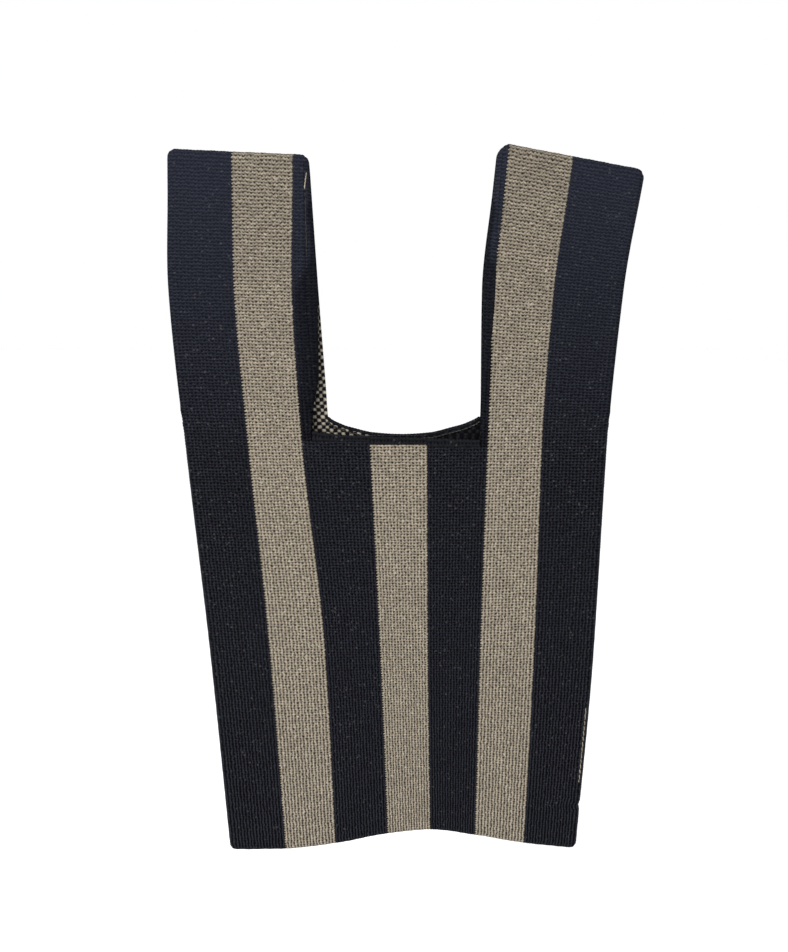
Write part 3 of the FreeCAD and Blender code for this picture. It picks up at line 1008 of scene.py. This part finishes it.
@dataclass
class Workshop:
    """What every sub-assembly needs: the form, the gauge, the finishes and a log of pieces."""

    gauge: Gauge
    form: BagForm
    dyer: Dyer
    upper_courses: int = 74
    lower_courses: int = 79
    fold_courses: int = 6
    made: list[bpy.types.Object] = field(default_factory=list)

    @property
    def pitch(self) -> float:
        """Return the course pitch of the upper body."""
        return (self.form.root - self.form.waist) / self.upper_courses

    def leg_courses(self, side: str) -> int:
        """Return how many courses one leg of a handle has."""
        first = 1 if side == "left" else 5
        edges = [self.form.boundaries[number](self.form.high) for number in (first, first + 1)]
        middle = 0.5 * (edges[0] + edges[1])
        leg = self.form.crest(side, middle) - self.form.handle_depth - self.form.root
        return round(float(leg) / self.gauge.course)

    def outside(self, yarn: Yarn) -> bpy.types.Material:
        """Return the material of a yarn's outer face."""
        finish = {Yarn.NAVY: NAVY, Yarn.BEIGE: BEIGE, Yarn.HEM: HEM, Yarn.SEAM: SEAM}[yarn]
        return self.dyer.material(finish)

    def inside(self, face: Inside) -> bpy.types.Material:
        """Return the material of an inner face."""
        return self.dyer.material(BIRDSEYE_LIGHT if face is Inside.LIGHT else BIRDSEYE_SHADED)

    def place(self, piece: bpy.types.Object, yarn: Yarn, nodes: tuple[str, ...]) -> bpy.types.Object:
        """Hide the CAD nodes a piece stands for, keep the piece and log it with them."""
        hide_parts(*nodes)
        self.made.append(piece)
        LOG.info("%s stands for %s", piece.name, ", ".join(nodes))
        return piece

    def sheet(self, shape: Sheet, yarn: Yarn, inside: Inside, nodes: tuple[str, ...]) -> bpy.types.Object:
        """Build a sheet and place it."""
        faces = [self.inside(inside)]
        # The inner face above that height takes the birdseye copy with painted shade.
        if shape.shaded_above is not None:
            faces.append(self.inside(Inside.DARK))
        piece = shape.build(self.gauge, self.outside(yarn), faces)
        return self.place(piece, yarn, nodes)

    def declare(self, piece: bpy.types.Object, shape: Sheet, hems: tuple[bpy.types.Object, ...] = ()) -> None:
        """Work out a sheet's flat width and length, the width raised to at least the least flat width;
        nothing more is done with them.
        """
        width, length = shape.flat()
        width = max(width, LEAST_FLAT_WIDTH)


@dataclass
class Panel:
    """One stripe of the front or back between two heights."""

    shop: Workshop
    number: int
    face: Face

    def columns(self) -> np.ndarray:
        """Return the wale coordinate of every mesh column."""
        return self.shop.gauge.columns(self.shop.gauge.wales(zone_yarn(self.number)))

    def upper(self, name: str, first: int) -> Sheet:
        """Lay out the stripe from a course below the handle roots down to the waist.

        Args:
            name: The piece's name.
            first: The first course, 0 at the handle roots.

        Returns:
            The sheet, ready to mesh.
        """
        shop = self.shop
        course = shop.gauge.courses(first, shop.upper_courses)
        z = shop.form.root - shop.gauge.extended(course) * shop.pitch
        return self._sheet(name, z[:, None] + 0.0 * self.columns(), course)

    def lower(self, name: str) -> Sheet:
        """Lay out the stripe from the waist down to the foot.

        Args:
            name: The piece's name.

        Returns:
            The sheet, ready to mesh.
        """
        shop, form = self.shop, self.shop.form
        course = shop.gauge.courses(0, shop.lower_courses)
        rows = shop.gauge.extended(course)
        rows[-1] = course[-1]
        rows = rows / shop.lower_courses
        columns = self.columns()
        part = columns / columns[-1]
        left, right = form.feet[self.number], form.feet[self.number + 1]
        foot = form.foot_line(left[0] + (right[0] - left[0]) * part) + form.half
        z = form.waist + rows[:, None] * (foot - form.waist)[None, :]
        z[-1] = z[-2] - 0.01 * MM
        return self._sheet(name, z, course + shop.upper_courses)

    def _sheet(self, name: str, z: np.ndarray, course: np.ndarray) -> Sheet:
        """Return the sheet whose rows lie at the given heights."""
        form = self.shop.form
        columns = self.columns()
        part = columns / columns[-1]
        left = form.edge(self.number, z[:, 0])[:, None]
        right = form.edge(self.number + 1, z[:, -1])[:, None]
        middle = form.layer(left + (right - left) * part[None, :], z, self.face)
        wale, rows = grids(columns, course)
        wale += STRIPE_OFFSET * self.number
        sides = (float(self.number != LEFT_SIDE), float(self.number + 1 != RIGHT_SIDE))
        return Sheet(name, middle, wale, rows, flip=self.face is Face.FRONT, scallop=sides)


@dataclass
class UpperBody:
    """The fixed part of the body, from the handle roots to the waist."""

    shop: Workshop

    def build(self) -> None:
        """Build the front side stripes and all the back stripes."""
        for number in (0, 1, 5, 6):
            self._panel(number, Face.FRONT, 0)
        for number in range(len(ZONES)):
            self._panel(number, Face.BACK, 1 if number in MOUTH else 0)

    def _panel(self, number: int, face: Face, first: int) -> None:
        """Build one stripe and fix it to the upper body."""
        name = f"{face.name.lower()}_upper_{ZONES[number]}"
        shape = Panel(self.shop, number, face).upper(name + "_knit", first)
        inside = Inside.LIGHT if number == 2 and face is Face.BACK else Inside.DARK
        piece = self.shop.sheet(shape, zone_yarn(number), inside, (name,))
        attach(piece, "upper_body")
        self.shop.declare(piece, shape)


@dataclass
class LowerBody:
    """The part of the body that folds up at the waist."""

    shop: Workshop
    bend: float = 24 * MM

    def build(self) -> None:
        """Build the front and back stripes from the waist to the foot."""
        for face in Face:
            for number in range(len(ZONES)):
                name = f"{face.name.lower()}_lower_{ZONES[number]}"
                shape = Panel(self.shop, number, face).lower(name + "_knit")
                piece = self.shop.sheet(shape, zone_yarn(number), Inside.DARK, (name,))
                self.follow(piece)
                self.shop.declare(piece, shape)

    def follow(self, piece: bpy.types.Object) -> None:
        """Bake a piece's transform into its mesh."""
        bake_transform(piece)


@dataclass
class Mouth:
    """The middle of the front, which opens away from the back.

    The side stripes' bend distances from their outer boundary, in millimetres, are not used.
    """

    shop: Workshop
    first_courses: tuple[int, ...] = (2, 3, 4)
    centre_bend: float = 6 * MM
    side_bend: tuple[int, int] = (6, 29)

    def build(self) -> None:
        """Build the three front stripes below the neckline and their hem."""
        for number, first in zip(MOUTH, self.first_courses):
            node = f"mouth_{ZONES[number]}"
            shape = Panel(self.shop, number, Face.FRONT).upper(node + "_knit", first)
            piece = self.shop.sheet(shape, zone_yarn(number), Inside.DARK, (node,))
            hem = self._hem(number, first)
            for part in (piece, hem):
                self._follow(part, number)
            self.shop.declare(piece, shape, (hem,))

    def _follow(self, piece: bpy.types.Object, number: int) -> None:
        """Bake a piece's transform into its mesh."""
        form = self.shop.form
        if ZONES[number] == "beige_centre":
            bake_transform(piece)
            return
        left_side = number == MOUTH[0]
        top, low = form.root, form.waist
        edge = form.boundaries[2 if left_side else 5]
        along = Vector((float(edge(top) - edge(low)), 0.0, top - low)).normalized()
        corner_point = Vector((float(edge(top)), 0.0, top))
        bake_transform(piece)

    def _hem(self, number: int, first: int) -> bpy.types.Object:
        """Build the thick hem above one stripe."""
        shop, form, gauge = self.shop, self.shop.form, self.shop.gauge
        bottom = form.root - first * shop.pitch
        left = form.edge(number, np.array([bottom]))[0]
        right = form.edge(number + 1, np.array([bottom]))[0]
        if number == MOUTH[0]:
            left = float(form.inner_edges[("left", Face.FRONT)](form.root))
        if number == MOUTH[-1]:
            right = float(form.inner_edges[("right", Face.FRONT)](form.root))
        count = max(2, round((right - left) / gauge.wale))
        columns = gauge.columns(count)
        x = left + (right - left) * columns / columns[-1]
        rows = np.linspace(-0.125, 1.125, 11)
        top = self.neckline(x)
        z = top[None, :] + rows[:, None] * (bottom - top)[None, :]
        middle = form.layer(x[None, :] + 0.0 * z, z, Face.FRONT)
        middle[..., 1] -= 0.35 * MM * np.sin(np.clip(rows, 0, 1) * math.pi)[:, None]
        wale, course = grids(columns, rows[1:-1] * 2.0)
        name = f"front_neck_hem_{('left', 'centre', 'right')[number - MOUTH[0]]}"
        shape = Sheet(name, middle, wale, course, flip=True, thickness=1.25, relief=0.8)
        shape.edge, shape.scallop = np.abs(z[1:-1] - top[None, :]), (0.0, 0.0)
        return shop.sheet(shape, Yarn.HEM, Inside.DARK, ("front_neck_hem",))

    def neckline(self, x: np.ndarray) -> np.ndarray:
        """Return Z of the front neckline's edge across the bag."""
        form = self.shop.form
        left = float(form.inner_edges[("left", Face.FRONT)](form.root))
        right = float(form.inner_edges[("right", Face.FRONT)](form.root))
        first = crossings("front_neck_hem", 0, -17 * MM)[:, 2].max()
        last = crossings("front_neck_hem", 0, right - 1 * MM)[:, 2].max()
        centre = crossings("front_neck_hem", 0, 0.0)[:, 2].max()
        line = Curve([left, left + 19 * MM, 0.0, right], [first + 2.4 * MM, first + 0.3 * MM, centre, last])
        return line(x)


@dataclass
class Handle:
    """One carrying loop: a band up the front, over the fold and down the back."""

    shop: Workshop
    side: str
    front_start: int = 0
    back_end: int = 1
    strip_wales: int = 6
    bend: float = 24 * MM
    light_height: float = 66 * MM
    closed_reach: float = 9 * MM
    opening_courses: float = 9.0
    peek: float = 0.6 * MM
    flare: float = 1.0 * MM

    def build(self) -> None:
        """Build the handle's three stripes."""
        zones = (0, 1, 2) if self.side == "left" else (4, 5, 6)
        for number in zones:
            self._stripe(number)

    def _stripe(self, number: int) -> None:
        """Build one stripe of the loop."""
        shop = self.shop
        yarn = zone_yarn(number)
        inner = number in (2, 4)
        kind = "beige" if yarn is Yarn.BEIGE else ("inner_navy" if inner else "outer_navy")
        node = f"{self.side}_handle_{kind}"
        shape = self._sheet(node + "_knit", number, inner)
        light = inner and self.side == "left"
        # Above this height the left inner strip's inner face takes the birdseye copy with painted shade.
        if light:
            shape.shaded_above = shop.form.root + self.light_height
        piece = shop.sheet(shape, yarn, Inside.LIGHT if light else Inside.DARK, (node,))
        self.follow(piece)
        shop.declare(piece, shape)

    def follow(self, piece: bpy.types.Object) -> None:
        """Bake a piece's transform into its mesh."""
        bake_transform(piece)

    def _sheet(self, name: str, number: int, inner: bool) -> Sheet:
        """Lay out one stripe of the loop as rows from the front root to the back root."""
        shop, gauge = self.shop, self.shop.gauge
        legs = shop.leg_courses(self.side)
        start = -self.front_start if inner else 0
        finish = 2 * legs + shop.fold_courses + (self.back_end if inner else 0)
        course = gauge.courses(start, finish)
        rows = gauge.extended(course)
        columns = gauge.columns(self.strip_wales if inner else gauge.wales(zone_yarn(number)))
        free = 3 if self.side == "left" else 4
        ends = [self._line(boundary, boundary == free, rows, legs) for boundary in (number, number + 1)]
        part = (columns / columns[-1])[None, :, None]
        middle = ends[0][:, None, :] * (1.0 - part) + ends[1][:, None, :] * part
        middle[..., 1] = self._depths(middle, rows, legs)
        wale, grid = grids(columns, -course)
        wale += STRIPE_OFFSET * number
        edge = shadow = None
        relief = 1.0
        scallop = [1.0, 1.0]
        if inner:
            spacing = np.linalg.norm(middle[1:-1, -1] - middle[1:-1, 0], axis=-1)[:, None] / columns[-1]
            edge = (columns[-1] - columns if self.side == "left" else columns)[None, :] * spacing
            shadow = self._shadow(edge, middle[1:-1, :, 2], rows[1:-1], legs)
            relief = np.clip(2.0 - spacing / gauge.wale, 0.0, 1.0)
            first = middle[1:-1, :1, 0] if self.side == "left" else middle[1:-1, -1:, 0]
            wale = (middle[1:-1, :, 0] - first) / gauge.wale
            scallop[1 if self.side == "left" else 0] = 0.0
        if number in (0, 6):
            reach = (columns if number == 0 else columns[-1] - columns) * gauge.wale
            closed = 1.0 - self._openness(rows[1:-1], legs)
            edge = reach[None, :] + self.closed_reach * closed[:, None]
            scallop[0 if number == 0 else 1] = 0.0
        sides = (scallop[0], scallop[1])
        return Sheet(name, middle, wale, grid, edge=edge, relief=relief, scallop=sides, shadow=shadow)

    @staticmethod
    def _shadow(distance: np.ndarray, z: np.ndarray, rows: np.ndarray, legs: int) -> np.ndarray:
        """Return how far the front leg's inner strip turns out of the light, 0 to 1."""
        width = sum(wide * smoothstep((below - z) / way) for wide, below, way in SHADOW_STEPS)
        border = smoothstep((width - distance) / (1.2 * MM - 0.08 * np.minimum(z + 20 * MM, 0.0)))
        return border * smoothstep((legs - rows) / 4.0)[:, None]

    def _openness(self, rows: np.ndarray, legs: int) -> np.ndarray:
        """Return 0 at the closed roots and 1 where the loop's outer edges are free."""
        total = 2 * legs + self.shop.fold_courses
        near = np.minimum(rows, total - rows)
        return smoothstep(near / self.opening_courses)

    def _heights(self, rows: np.ndarray, legs: int, top: float) -> np.ndarray:
        """Return the leg height or fold height of each row at a crest of that height."""
        form, fold = self.shop.form, self.shop.fold_courses
        leg_top = top - form.handle_depth
        up = form.root + (leg_top - form.root) * rows / legs
        down = form.root + (leg_top - form.root) * (2 * legs + fold - rows) / legs
        angle = np.clip((rows - legs) / fold, 0.0, 1.0) * math.pi
        over = leg_top + form.handle_depth * np.sin(angle)
        return np.where(rows <= legs, up, np.where(rows >= legs + fold, down, over))

    def _line(self, boundary: int, free: bool, rows: np.ndarray, legs: int) -> np.ndarray:
        """Return the points of a stripe boundary along the loop, with Y left at 0."""
        form = self.shop.form
        if free:
            front = form.inner_edges[(self.side, Face.FRONT)]
            back = form.inner_edges[(self.side, Face.BACK)]
            way = 1.0 if self.side == "right" else -1.0
            inset = 0.0
        else:
            front = back = form.boundaries[boundary]
            way = {LEFT_SIDE: 1.0, RIGHT_SIDE: -1.0}.get(boundary, 0.0)
            inset = way * form.half * (1.0 - self._openness(rows, legs)) + form.spread.get(boundary, 0.0)
        guess = float(front(np.array([form.high]))[0])
        top = float(form.crest(self.side, guess))
        z = self._heights(rows, legs, top)
        ease = smoothstep((rows - legs + 4.0) / (self.shop.fold_courses + 8.0))
        x = front(z) * (1.0 - ease) + back(z) * ease + inset
        if free or boundary in (LEFT_SIDE, RIGHT_SIDE):
            radius = CORNER_RADIUS[(self.side, free)]
            x = x + way * standing_in(top - z, radius)
        if boundary == RIGHT_SIDE:
            x = x + self.peek * (bell(z + 45 * MM, 30 * MM) * ease) + self.flare * bell(z, 32 * MM)
        return np.stack([x, 0.0 * z, z], axis=-1)

    def _depths(self, middle: np.ndarray, rows: np.ndarray, legs: int) -> np.ndarray:
        """Return Y of the middle surface, from front to back over the fold."""
        form, fold = self.shop.form, self.shop.fold_courses
        x, z = middle[..., 0], middle[..., 2]
        front = form.depth(x, z, Face.FRONT)
        back = form.depth(x, z, Face.BACK)
        angle = np.clip((rows - legs) / fold, 0.0, 1.0)[:, None] * math.pi
        share = 0.5 - 0.5 * np.cos(angle)
        size = front * (1.0 - share) + back * share
        return -size * np.cos(angle)


@dataclass
class BackHem:
    """The dark edge along the back neckline, with its row of chain stitches inside."""

    shop: Workshop
    reach: float = 8.5 * MM
    sag: float = 1.2 * MM
    hem_radius: float = 0.95 * MM
    hem_drop: float = 0.3 * MM
    chain_radius: float = 0.34 * MM
    chain_drop: float = 2.1 * MM
    chain_pitch: float = 1.84 * MM

    def build(self) -> None:
        """Build the hem's middle and its two rising ends."""
        form = self.shop.form
        left = form.inner_edges[("left", Face.BACK)]
        right = form.inner_edges[("right", Face.BACK)]
        rise = np.linspace(-0.4 * MM, self.reach, 22)
        first = [(float(left(form.root + up)), float(form.root + up)) for up in rise[::-1]]
        last = [(float(right(form.root + up)), float(form.root + up)) for up in rise]
        start, end = first[-1], last[0]
        middle = []
        for part in np.linspace(0.0, 1.0, 30):
            x = start[0] + (end[0] - start[0]) * part
            middle.append((float(x), start[1] - self.sag * math.sin(math.pi * part)))
        middle = [first[-3], *middle[1:-1], last[2]]
        self._strip("left", first)
        self._strip("centre", middle)
        self._strip("right", last)

    def _strip(self, part: str, line: list[tuple[float, float]]) -> None:
        """Build one length of edge and its chain along a line of X and Z."""
        edge = [(x, self.shop.form.depth_at(x, z, Face.BACK), z - self.hem_drop) for x, z in line]
        strand = Strand(edge, self.hem_radius, bead=0.07)
        self._hold(strand.build(f"back_neck_hem_{part}", self.shop.outside(Yarn.HEM)), part)
        inner = self.shop.form.half + 0.15 * MM
        chain = [(x, self.shop.form.depth_at(x, z, Face.BACK) - inner, z - self.chain_drop) for x, z in line]
        strand = Strand(chain, self.chain_radius, bead=0.6, pitch=self.chain_pitch)
        self._hold(strand.build(f"back_neck_chain_{part}", self.shop.dyer.material(CHAIN)), part)

    def _hold(self, piece: bpy.types.Object, part: str) -> None:
        """Place a piece; fix the middle length to the upper body and bake the ends where they are."""
        self.shop.place(piece, Yarn.HEM, ("back_neck_hem",))
        if part == "centre":
            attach(piece, "upper_body")
        else:
            Handle(self.shop, part).follow(piece)


@dataclass
class LooseEnds:
    """Stray light stitches of the other yarn, at the left ridge and the right side seam."""

    shop: Workshop
    slit: tuple[float, float] = (-4.5 * MM, -13 * MM)
    ridge: tuple[float, float] = (-14 * MM, -44 * MM)
    seam: tuple[float, float] = (92 * MM, 42 * MM)

    def build(self, lower: LowerBody) -> None:
        """Build the slit's yarn, the ridge's stitches and the side seam's."""
        form = self.shop.form
        edge = form.inner_edges[("left", Face.FRONT)]
        inner = "left_handle_inner_navy"
        handle = Handle(self.shop, "left")
        slit = []
        for part in np.linspace(0.0, 1.0, 12):
            z = self.slit[0] + (self.slit[1] - self.slit[0]) * part
            slit.append(form.on_front(float(edge(z)) - (0.9 + 1.6 * part) * MM, float(z), 0.2 * MM))
        strand = Strand(slit, 0.3 * MM, bead=0.3)
        self._row("left_handle_slit_yarn", strand, LOOSE, Yarn.BEIGE, inner, handle)
        x = float(edge(form.high)) - 2.2 * MM
        ridge = [form.on_front(x, float(z), 0.12 * MM) for z in np.linspace(*self.ridge, 40)]
        strand = Strand(ridge, 0.2 * MM, bead=0.95, pitch=3.3 * MM)
        self._row("left_handle_ridge_stitches", strand, CHAIN, Yarn.NAVY, inner, handle)
        foot = form.feet[RIGHT_SIDE][1]
        dots = []
        for z in np.linspace(foot + self.seam[0], foot + self.seam[1], 60):
            x = float(form.edge(RIGHT_SIDE, np.array([z]))[0]) - 1.5 * MM
            dots.append(form.on_front(x, float(z), -0.05 * MM))
        strand = Strand(dots, 0.27 * MM, bead=0.95, pitch=3.6 * MM)
        self._row("right_seam_light_stitches", strand, LOOSE, Yarn.BEIGE, "right_side_seam_lower", lower)

    def _row(
        self, name: str, strand: "Strand", finish: KnitFinish, yarn: Yarn, node: str,
        holder: Handle | LowerBody,
    ) -> None:
        """Build one row of stitches for a CAD node and bake it where it is."""
        piece = strand.build(name, self.shop.dyer.material(finish))
        self.shop.place(piece, yarn, (node,))
        holder.follow(piece)


@dataclass
class Strand:
    """A round strand of yarn along a line, with beads where its stitches show."""

    points: list[tuple[float, float, float]]
    radius: float
    twist: float = 1.0
    bead: float = 0.22
    pitch: float = 1.65 * MM
    around: int = 12

    def build(self, name: str, material: bpy.types.Material) -> bpy.types.Object:
        """Mesh the strand.

        Args:
            name: The piece's name.
            material: Its finish.

        Returns:
            The new object, closed at both ends.
        """
        line, along = self._evened()
        tangent = np.gradient(line, axis=0)
        tangent /= np.linalg.norm(tangent, axis=1, keepdims=True)
        side = np.cross(tangent, np.array([0.0, 1.0, 0.0]))
        side /= np.maximum(np.linalg.norm(side, axis=1, keepdims=True), 1e-9)
        other = np.cross(tangent, side)
        angle = np.linspace(0.0, FULL_TURN, self.around, endpoint=False)
        phase = FULL_TURN * along[:, None] / self.pitch + self.twist * angle[None, :]
        size = self.radius * (1.0 + self.bead * np.cos(phase))
        close = np.minimum(along, along[-1] - along) / (self.radius * 0.8)
        size = size * np.maximum(rounding(close * self.radius, self.radius), 0.12)[:, None]
        turn = angle[None, :, None]
        ring = side[:, None, :] * np.cos(turn) + other[:, None, :] * np.sin(turn)
        points = line[:, None, :] + ring * size[..., None]
        count, around = size.shape
        number = np.arange(count * around).reshape(count, around)
        shifted = np.roll(number, -1, axis=1)
        quads = np.stack([number[:-1], number[1:], shifted[1:], shifted[:-1]], axis=-1)
        faces = [*quads.reshape(-1, 4).tolist(), number[0].tolist(), number[-1][::-1].tolist()]
        mesh = bpy.data.meshes.new(name)
        mesh.from_pydata(points.reshape(-1, 3).tolist(), [], faces)
        mesh.validate()
        stitch = np.zeros((count * around, 3), dtype=np.float32)
        stitch[:, 0] = np.tile(angle / math.pi, count)
        stitch[:, 1] = np.repeat(along / self.pitch, around)
        write_stitch(mesh, stitch)
        mesh.shade_smooth()
        mesh.materials.append(material)
        return add_object(name, mesh)

    def _evened(self) -> tuple[np.ndarray, np.ndarray]:
        """Return the line resampled to a quarter of the pitch, and the length along it."""
        line = np.array(self.points, float)
        lengths = np.concatenate([[0.0], np.cumsum(np.linalg.norm(np.diff(line, axis=0), axis=1))])
        count = max(8, int(lengths[-1] / (self.pitch / 4)) + 1)
        along = np.linspace(0.0, lengths[-1], count)
        evened = np.stack([np.interp(along, lengths, line[:, axis]) for axis in range(3)], axis=-1)
        return evened, along


@dataclass
class Seams:
    """The linked side seams and the seam along the foot."""

    shop: Workshop
    radius: float = 0.95 * MM

    def build(self, lower: LowerBody) -> None:
        """Build the four side seams and the bottom seam."""
        form = self.shop.form
        for number, side, inward in ((LEFT_SIDE, "left", 1.0), (RIGHT_SIDE, "right", -1.0)):
            upper_line = np.linspace(form.root, form.waist, 60)
            foot = form.feet[number][1] - form.drops[number] + form.corner_round
            lower_line = np.linspace(form.waist, foot, 60)
            for half, line in (("upper", upper_line), ("lower", lower_line)):
                x = form.edge(number, line) + inward * 0.25 * MM
                points = [(float(at), 0.0, float(z)) for at, z in zip(x, line)]
                node = f"{side}_side_seam_{half}"
                piece = self._seam(node, points)
                if half == "upper":
                    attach(piece, "upper_body")
                else:
                    lower.follow(piece)
        self._bottom(lower)

    def _bottom(self, lower: LowerBody) -> None:
        """Build the seam that closes the foot, up round both corners."""
        form = self.shop.form
        low = form.feet[LEFT_SIDE][0] + form.corner_round
        high = form.feet[RIGHT_SIDE][0] - form.corner_round
        x = np.linspace(low, high, 120)
        z = form.foot_line(x) + form.half
        points = [(float(at), 0.0, float(height)) for at, height in zip(x, z)]
        lower.follow(self._seam("bottom_seam", points))

    def _seam(self, node: str, points: list[tuple[float, float, float]]) -> bpy.types.Object:
        """Build a seam's strand and place it."""
        piece = Strand(points, self.radius, twist=2.0).build(node + "_yarn", self.shop.outside(Yarn.SEAM))
        return self.shop.place(piece, Yarn.SEAM, (node,))


@dataclass
class Studio:
    """Camera, lights, background and floor."""

    target: Vector
    distance: float = 0.43
    elevation: float = 15.0
    lens: float = 37.3
    front_glow: float = 0.5

    def build(self, foot: float) -> None:
        """Set up the studio around the bag.

        Args:
            foot: Height of the bag's foot.
        """
        self._camera()
        self._world()
        self._light("key", Vector((-0.55, -0.85, 0.6)), 0.4, 21.0)
        self._light("fill", Vector((0.7, -0.8, 0.3)), 0.8, 5.0)
        self._floor(foot)

    def _camera(self) -> None:
        """Add the camera and make it the scene's."""
        angle = math.radians(self.elevation)
        data = bpy.data.cameras.new("camera")
        data.sensor_fit = "HORIZONTAL"
        data.sensor_width = 36.0
        data.lens = self.lens
        data.clip_start = 0.01
        camera = add_object("camera", data)
        camera.location = self.target + Vector((0.0, -math.cos(angle), math.sin(angle))) * self.distance
        camera.rotation_euler = (math.radians(90.0) - angle, 0.0, 0.0)
        bpy.context.scene.camera = camera

    def _world(self) -> None:
        """Set a plain white surround and an even tone scale."""
        scene = bpy.context.scene
        world = bpy.data.worlds.new("white_surround")
        world.use_nodes = True
        tree = world.node_tree
        background = tree.nodes["Background"]
        place = tree.nodes.new("ShaderNodeTexCoord")
        parts = tree.nodes.new("ShaderNodeSeparateXYZ")
        fade = tree.nodes.new("ShaderNodeMapRange")
        limits = {"From Min": -0.7, "From Max": 0.15, "To Min": self.front_glow, "To Max": 1.0}
        for name, value in limits.items():
            fade.inputs[name].default_value = value
        tree.links.new(place.outputs["Generated"], parts.inputs[0])
        tree.links.new(parts.outputs["Y"], fade.inputs["Value"])
        tree.links.new(fade.outputs[0], background.inputs["Strength"])
        background.inputs["Color"].default_value = (1.0, 1.0, 1.0, 1.0)
        scene.world = world
        scene.view_settings.view_transform = "Standard"

    def _light(self, name: str, place: Vector, size: float, power: float) -> None:
        """Add a soft square light aimed at the bag."""
        data = bpy.data.lights.new(name, "AREA")
        data.shape = "SQUARE"
        data.size = size
        data.energy = power
        light = add_object(name, data)
        light.location = place
        light.rotation_euler = (self.target - place).to_track_quat("-Z", "Y").to_euler()

    def _floor(self, foot: float) -> None:
        """Add the pale floor well below the hanging bag."""
        reach, drop = 6.0, 0.35
        mesh = bpy.data.meshes.new("floor")
        signs = ((-1, -1), (1, -1), (1, 1), (-1, 1))
        corners = [(across * reach, along * reach, foot - drop) for across, along in signs]
        mesh.from_pydata(corners, [], [(0, 1, 2, 3)])
        floor = add_object("floor", mesh)
        graph = Graph("pale_floor")
        grain = graph.add("TexNoise", Scale=6.0, Detail=4.0)
        colour = graph.mix(grain.outputs[0], (0.93, 0.93, 0.93), (0.97, 0.97, 0.97))
        material = graph.finish(colour, grain.outputs[0], 0.02, 0.9, 0.1)
        surface = material.node_tree.nodes["Principled BSDF"]
        surface.inputs["Emission Color"].default_value = (1.0, 1.0, 1.0, 1.0)
        surface.inputs["Emission Strength"].default_value = 0.2
        mesh.materials.append(material)
        floor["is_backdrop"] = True


def clear_defaults() -> None:
    """Remove the start-up scene's own objects, and keep the frame's."""
    kept = set(frame["nodes"].values()) | set(frame["bodies"].values())
    for item in list(bpy.data.objects):
        if item not in kept:
            bpy.data.objects.remove(item, do_unlink=True)


def corners_of_bag() -> list[list[float]]:
    """Return the object's box as two plain lists."""
    low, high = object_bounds()
    return [list(low), list(high)]


def main() -> None:
    """Build the bag round the frame."""
    logging.basicConfig(level=logging.INFO, format="%(message)s")
    clear_defaults()
    before = corners_of_bag()
    gauge = Gauge()
    form = BagForm(gauge)
    shop = Workshop(gauge, form, Dyer())
    UpperBody(shop).build()
    lower = LowerBody(shop)
    lower.build()
    Mouth(shop).build()
    Handle(shop, "left", front_start=2).build()
    Handle(shop, "right", front_start=4).build()
    BackHem(shop).build()
    Seams(shop).build(lower)
    LooseEnds(shop).build(lower)
    target = Vector((TARGET_X, before[0][1], TARGET_Z))
    Studio(target).build(before[0][2])
    LOG.info("%d pieces made", len(shop.made))


if __name__ == "__main__":
    main()
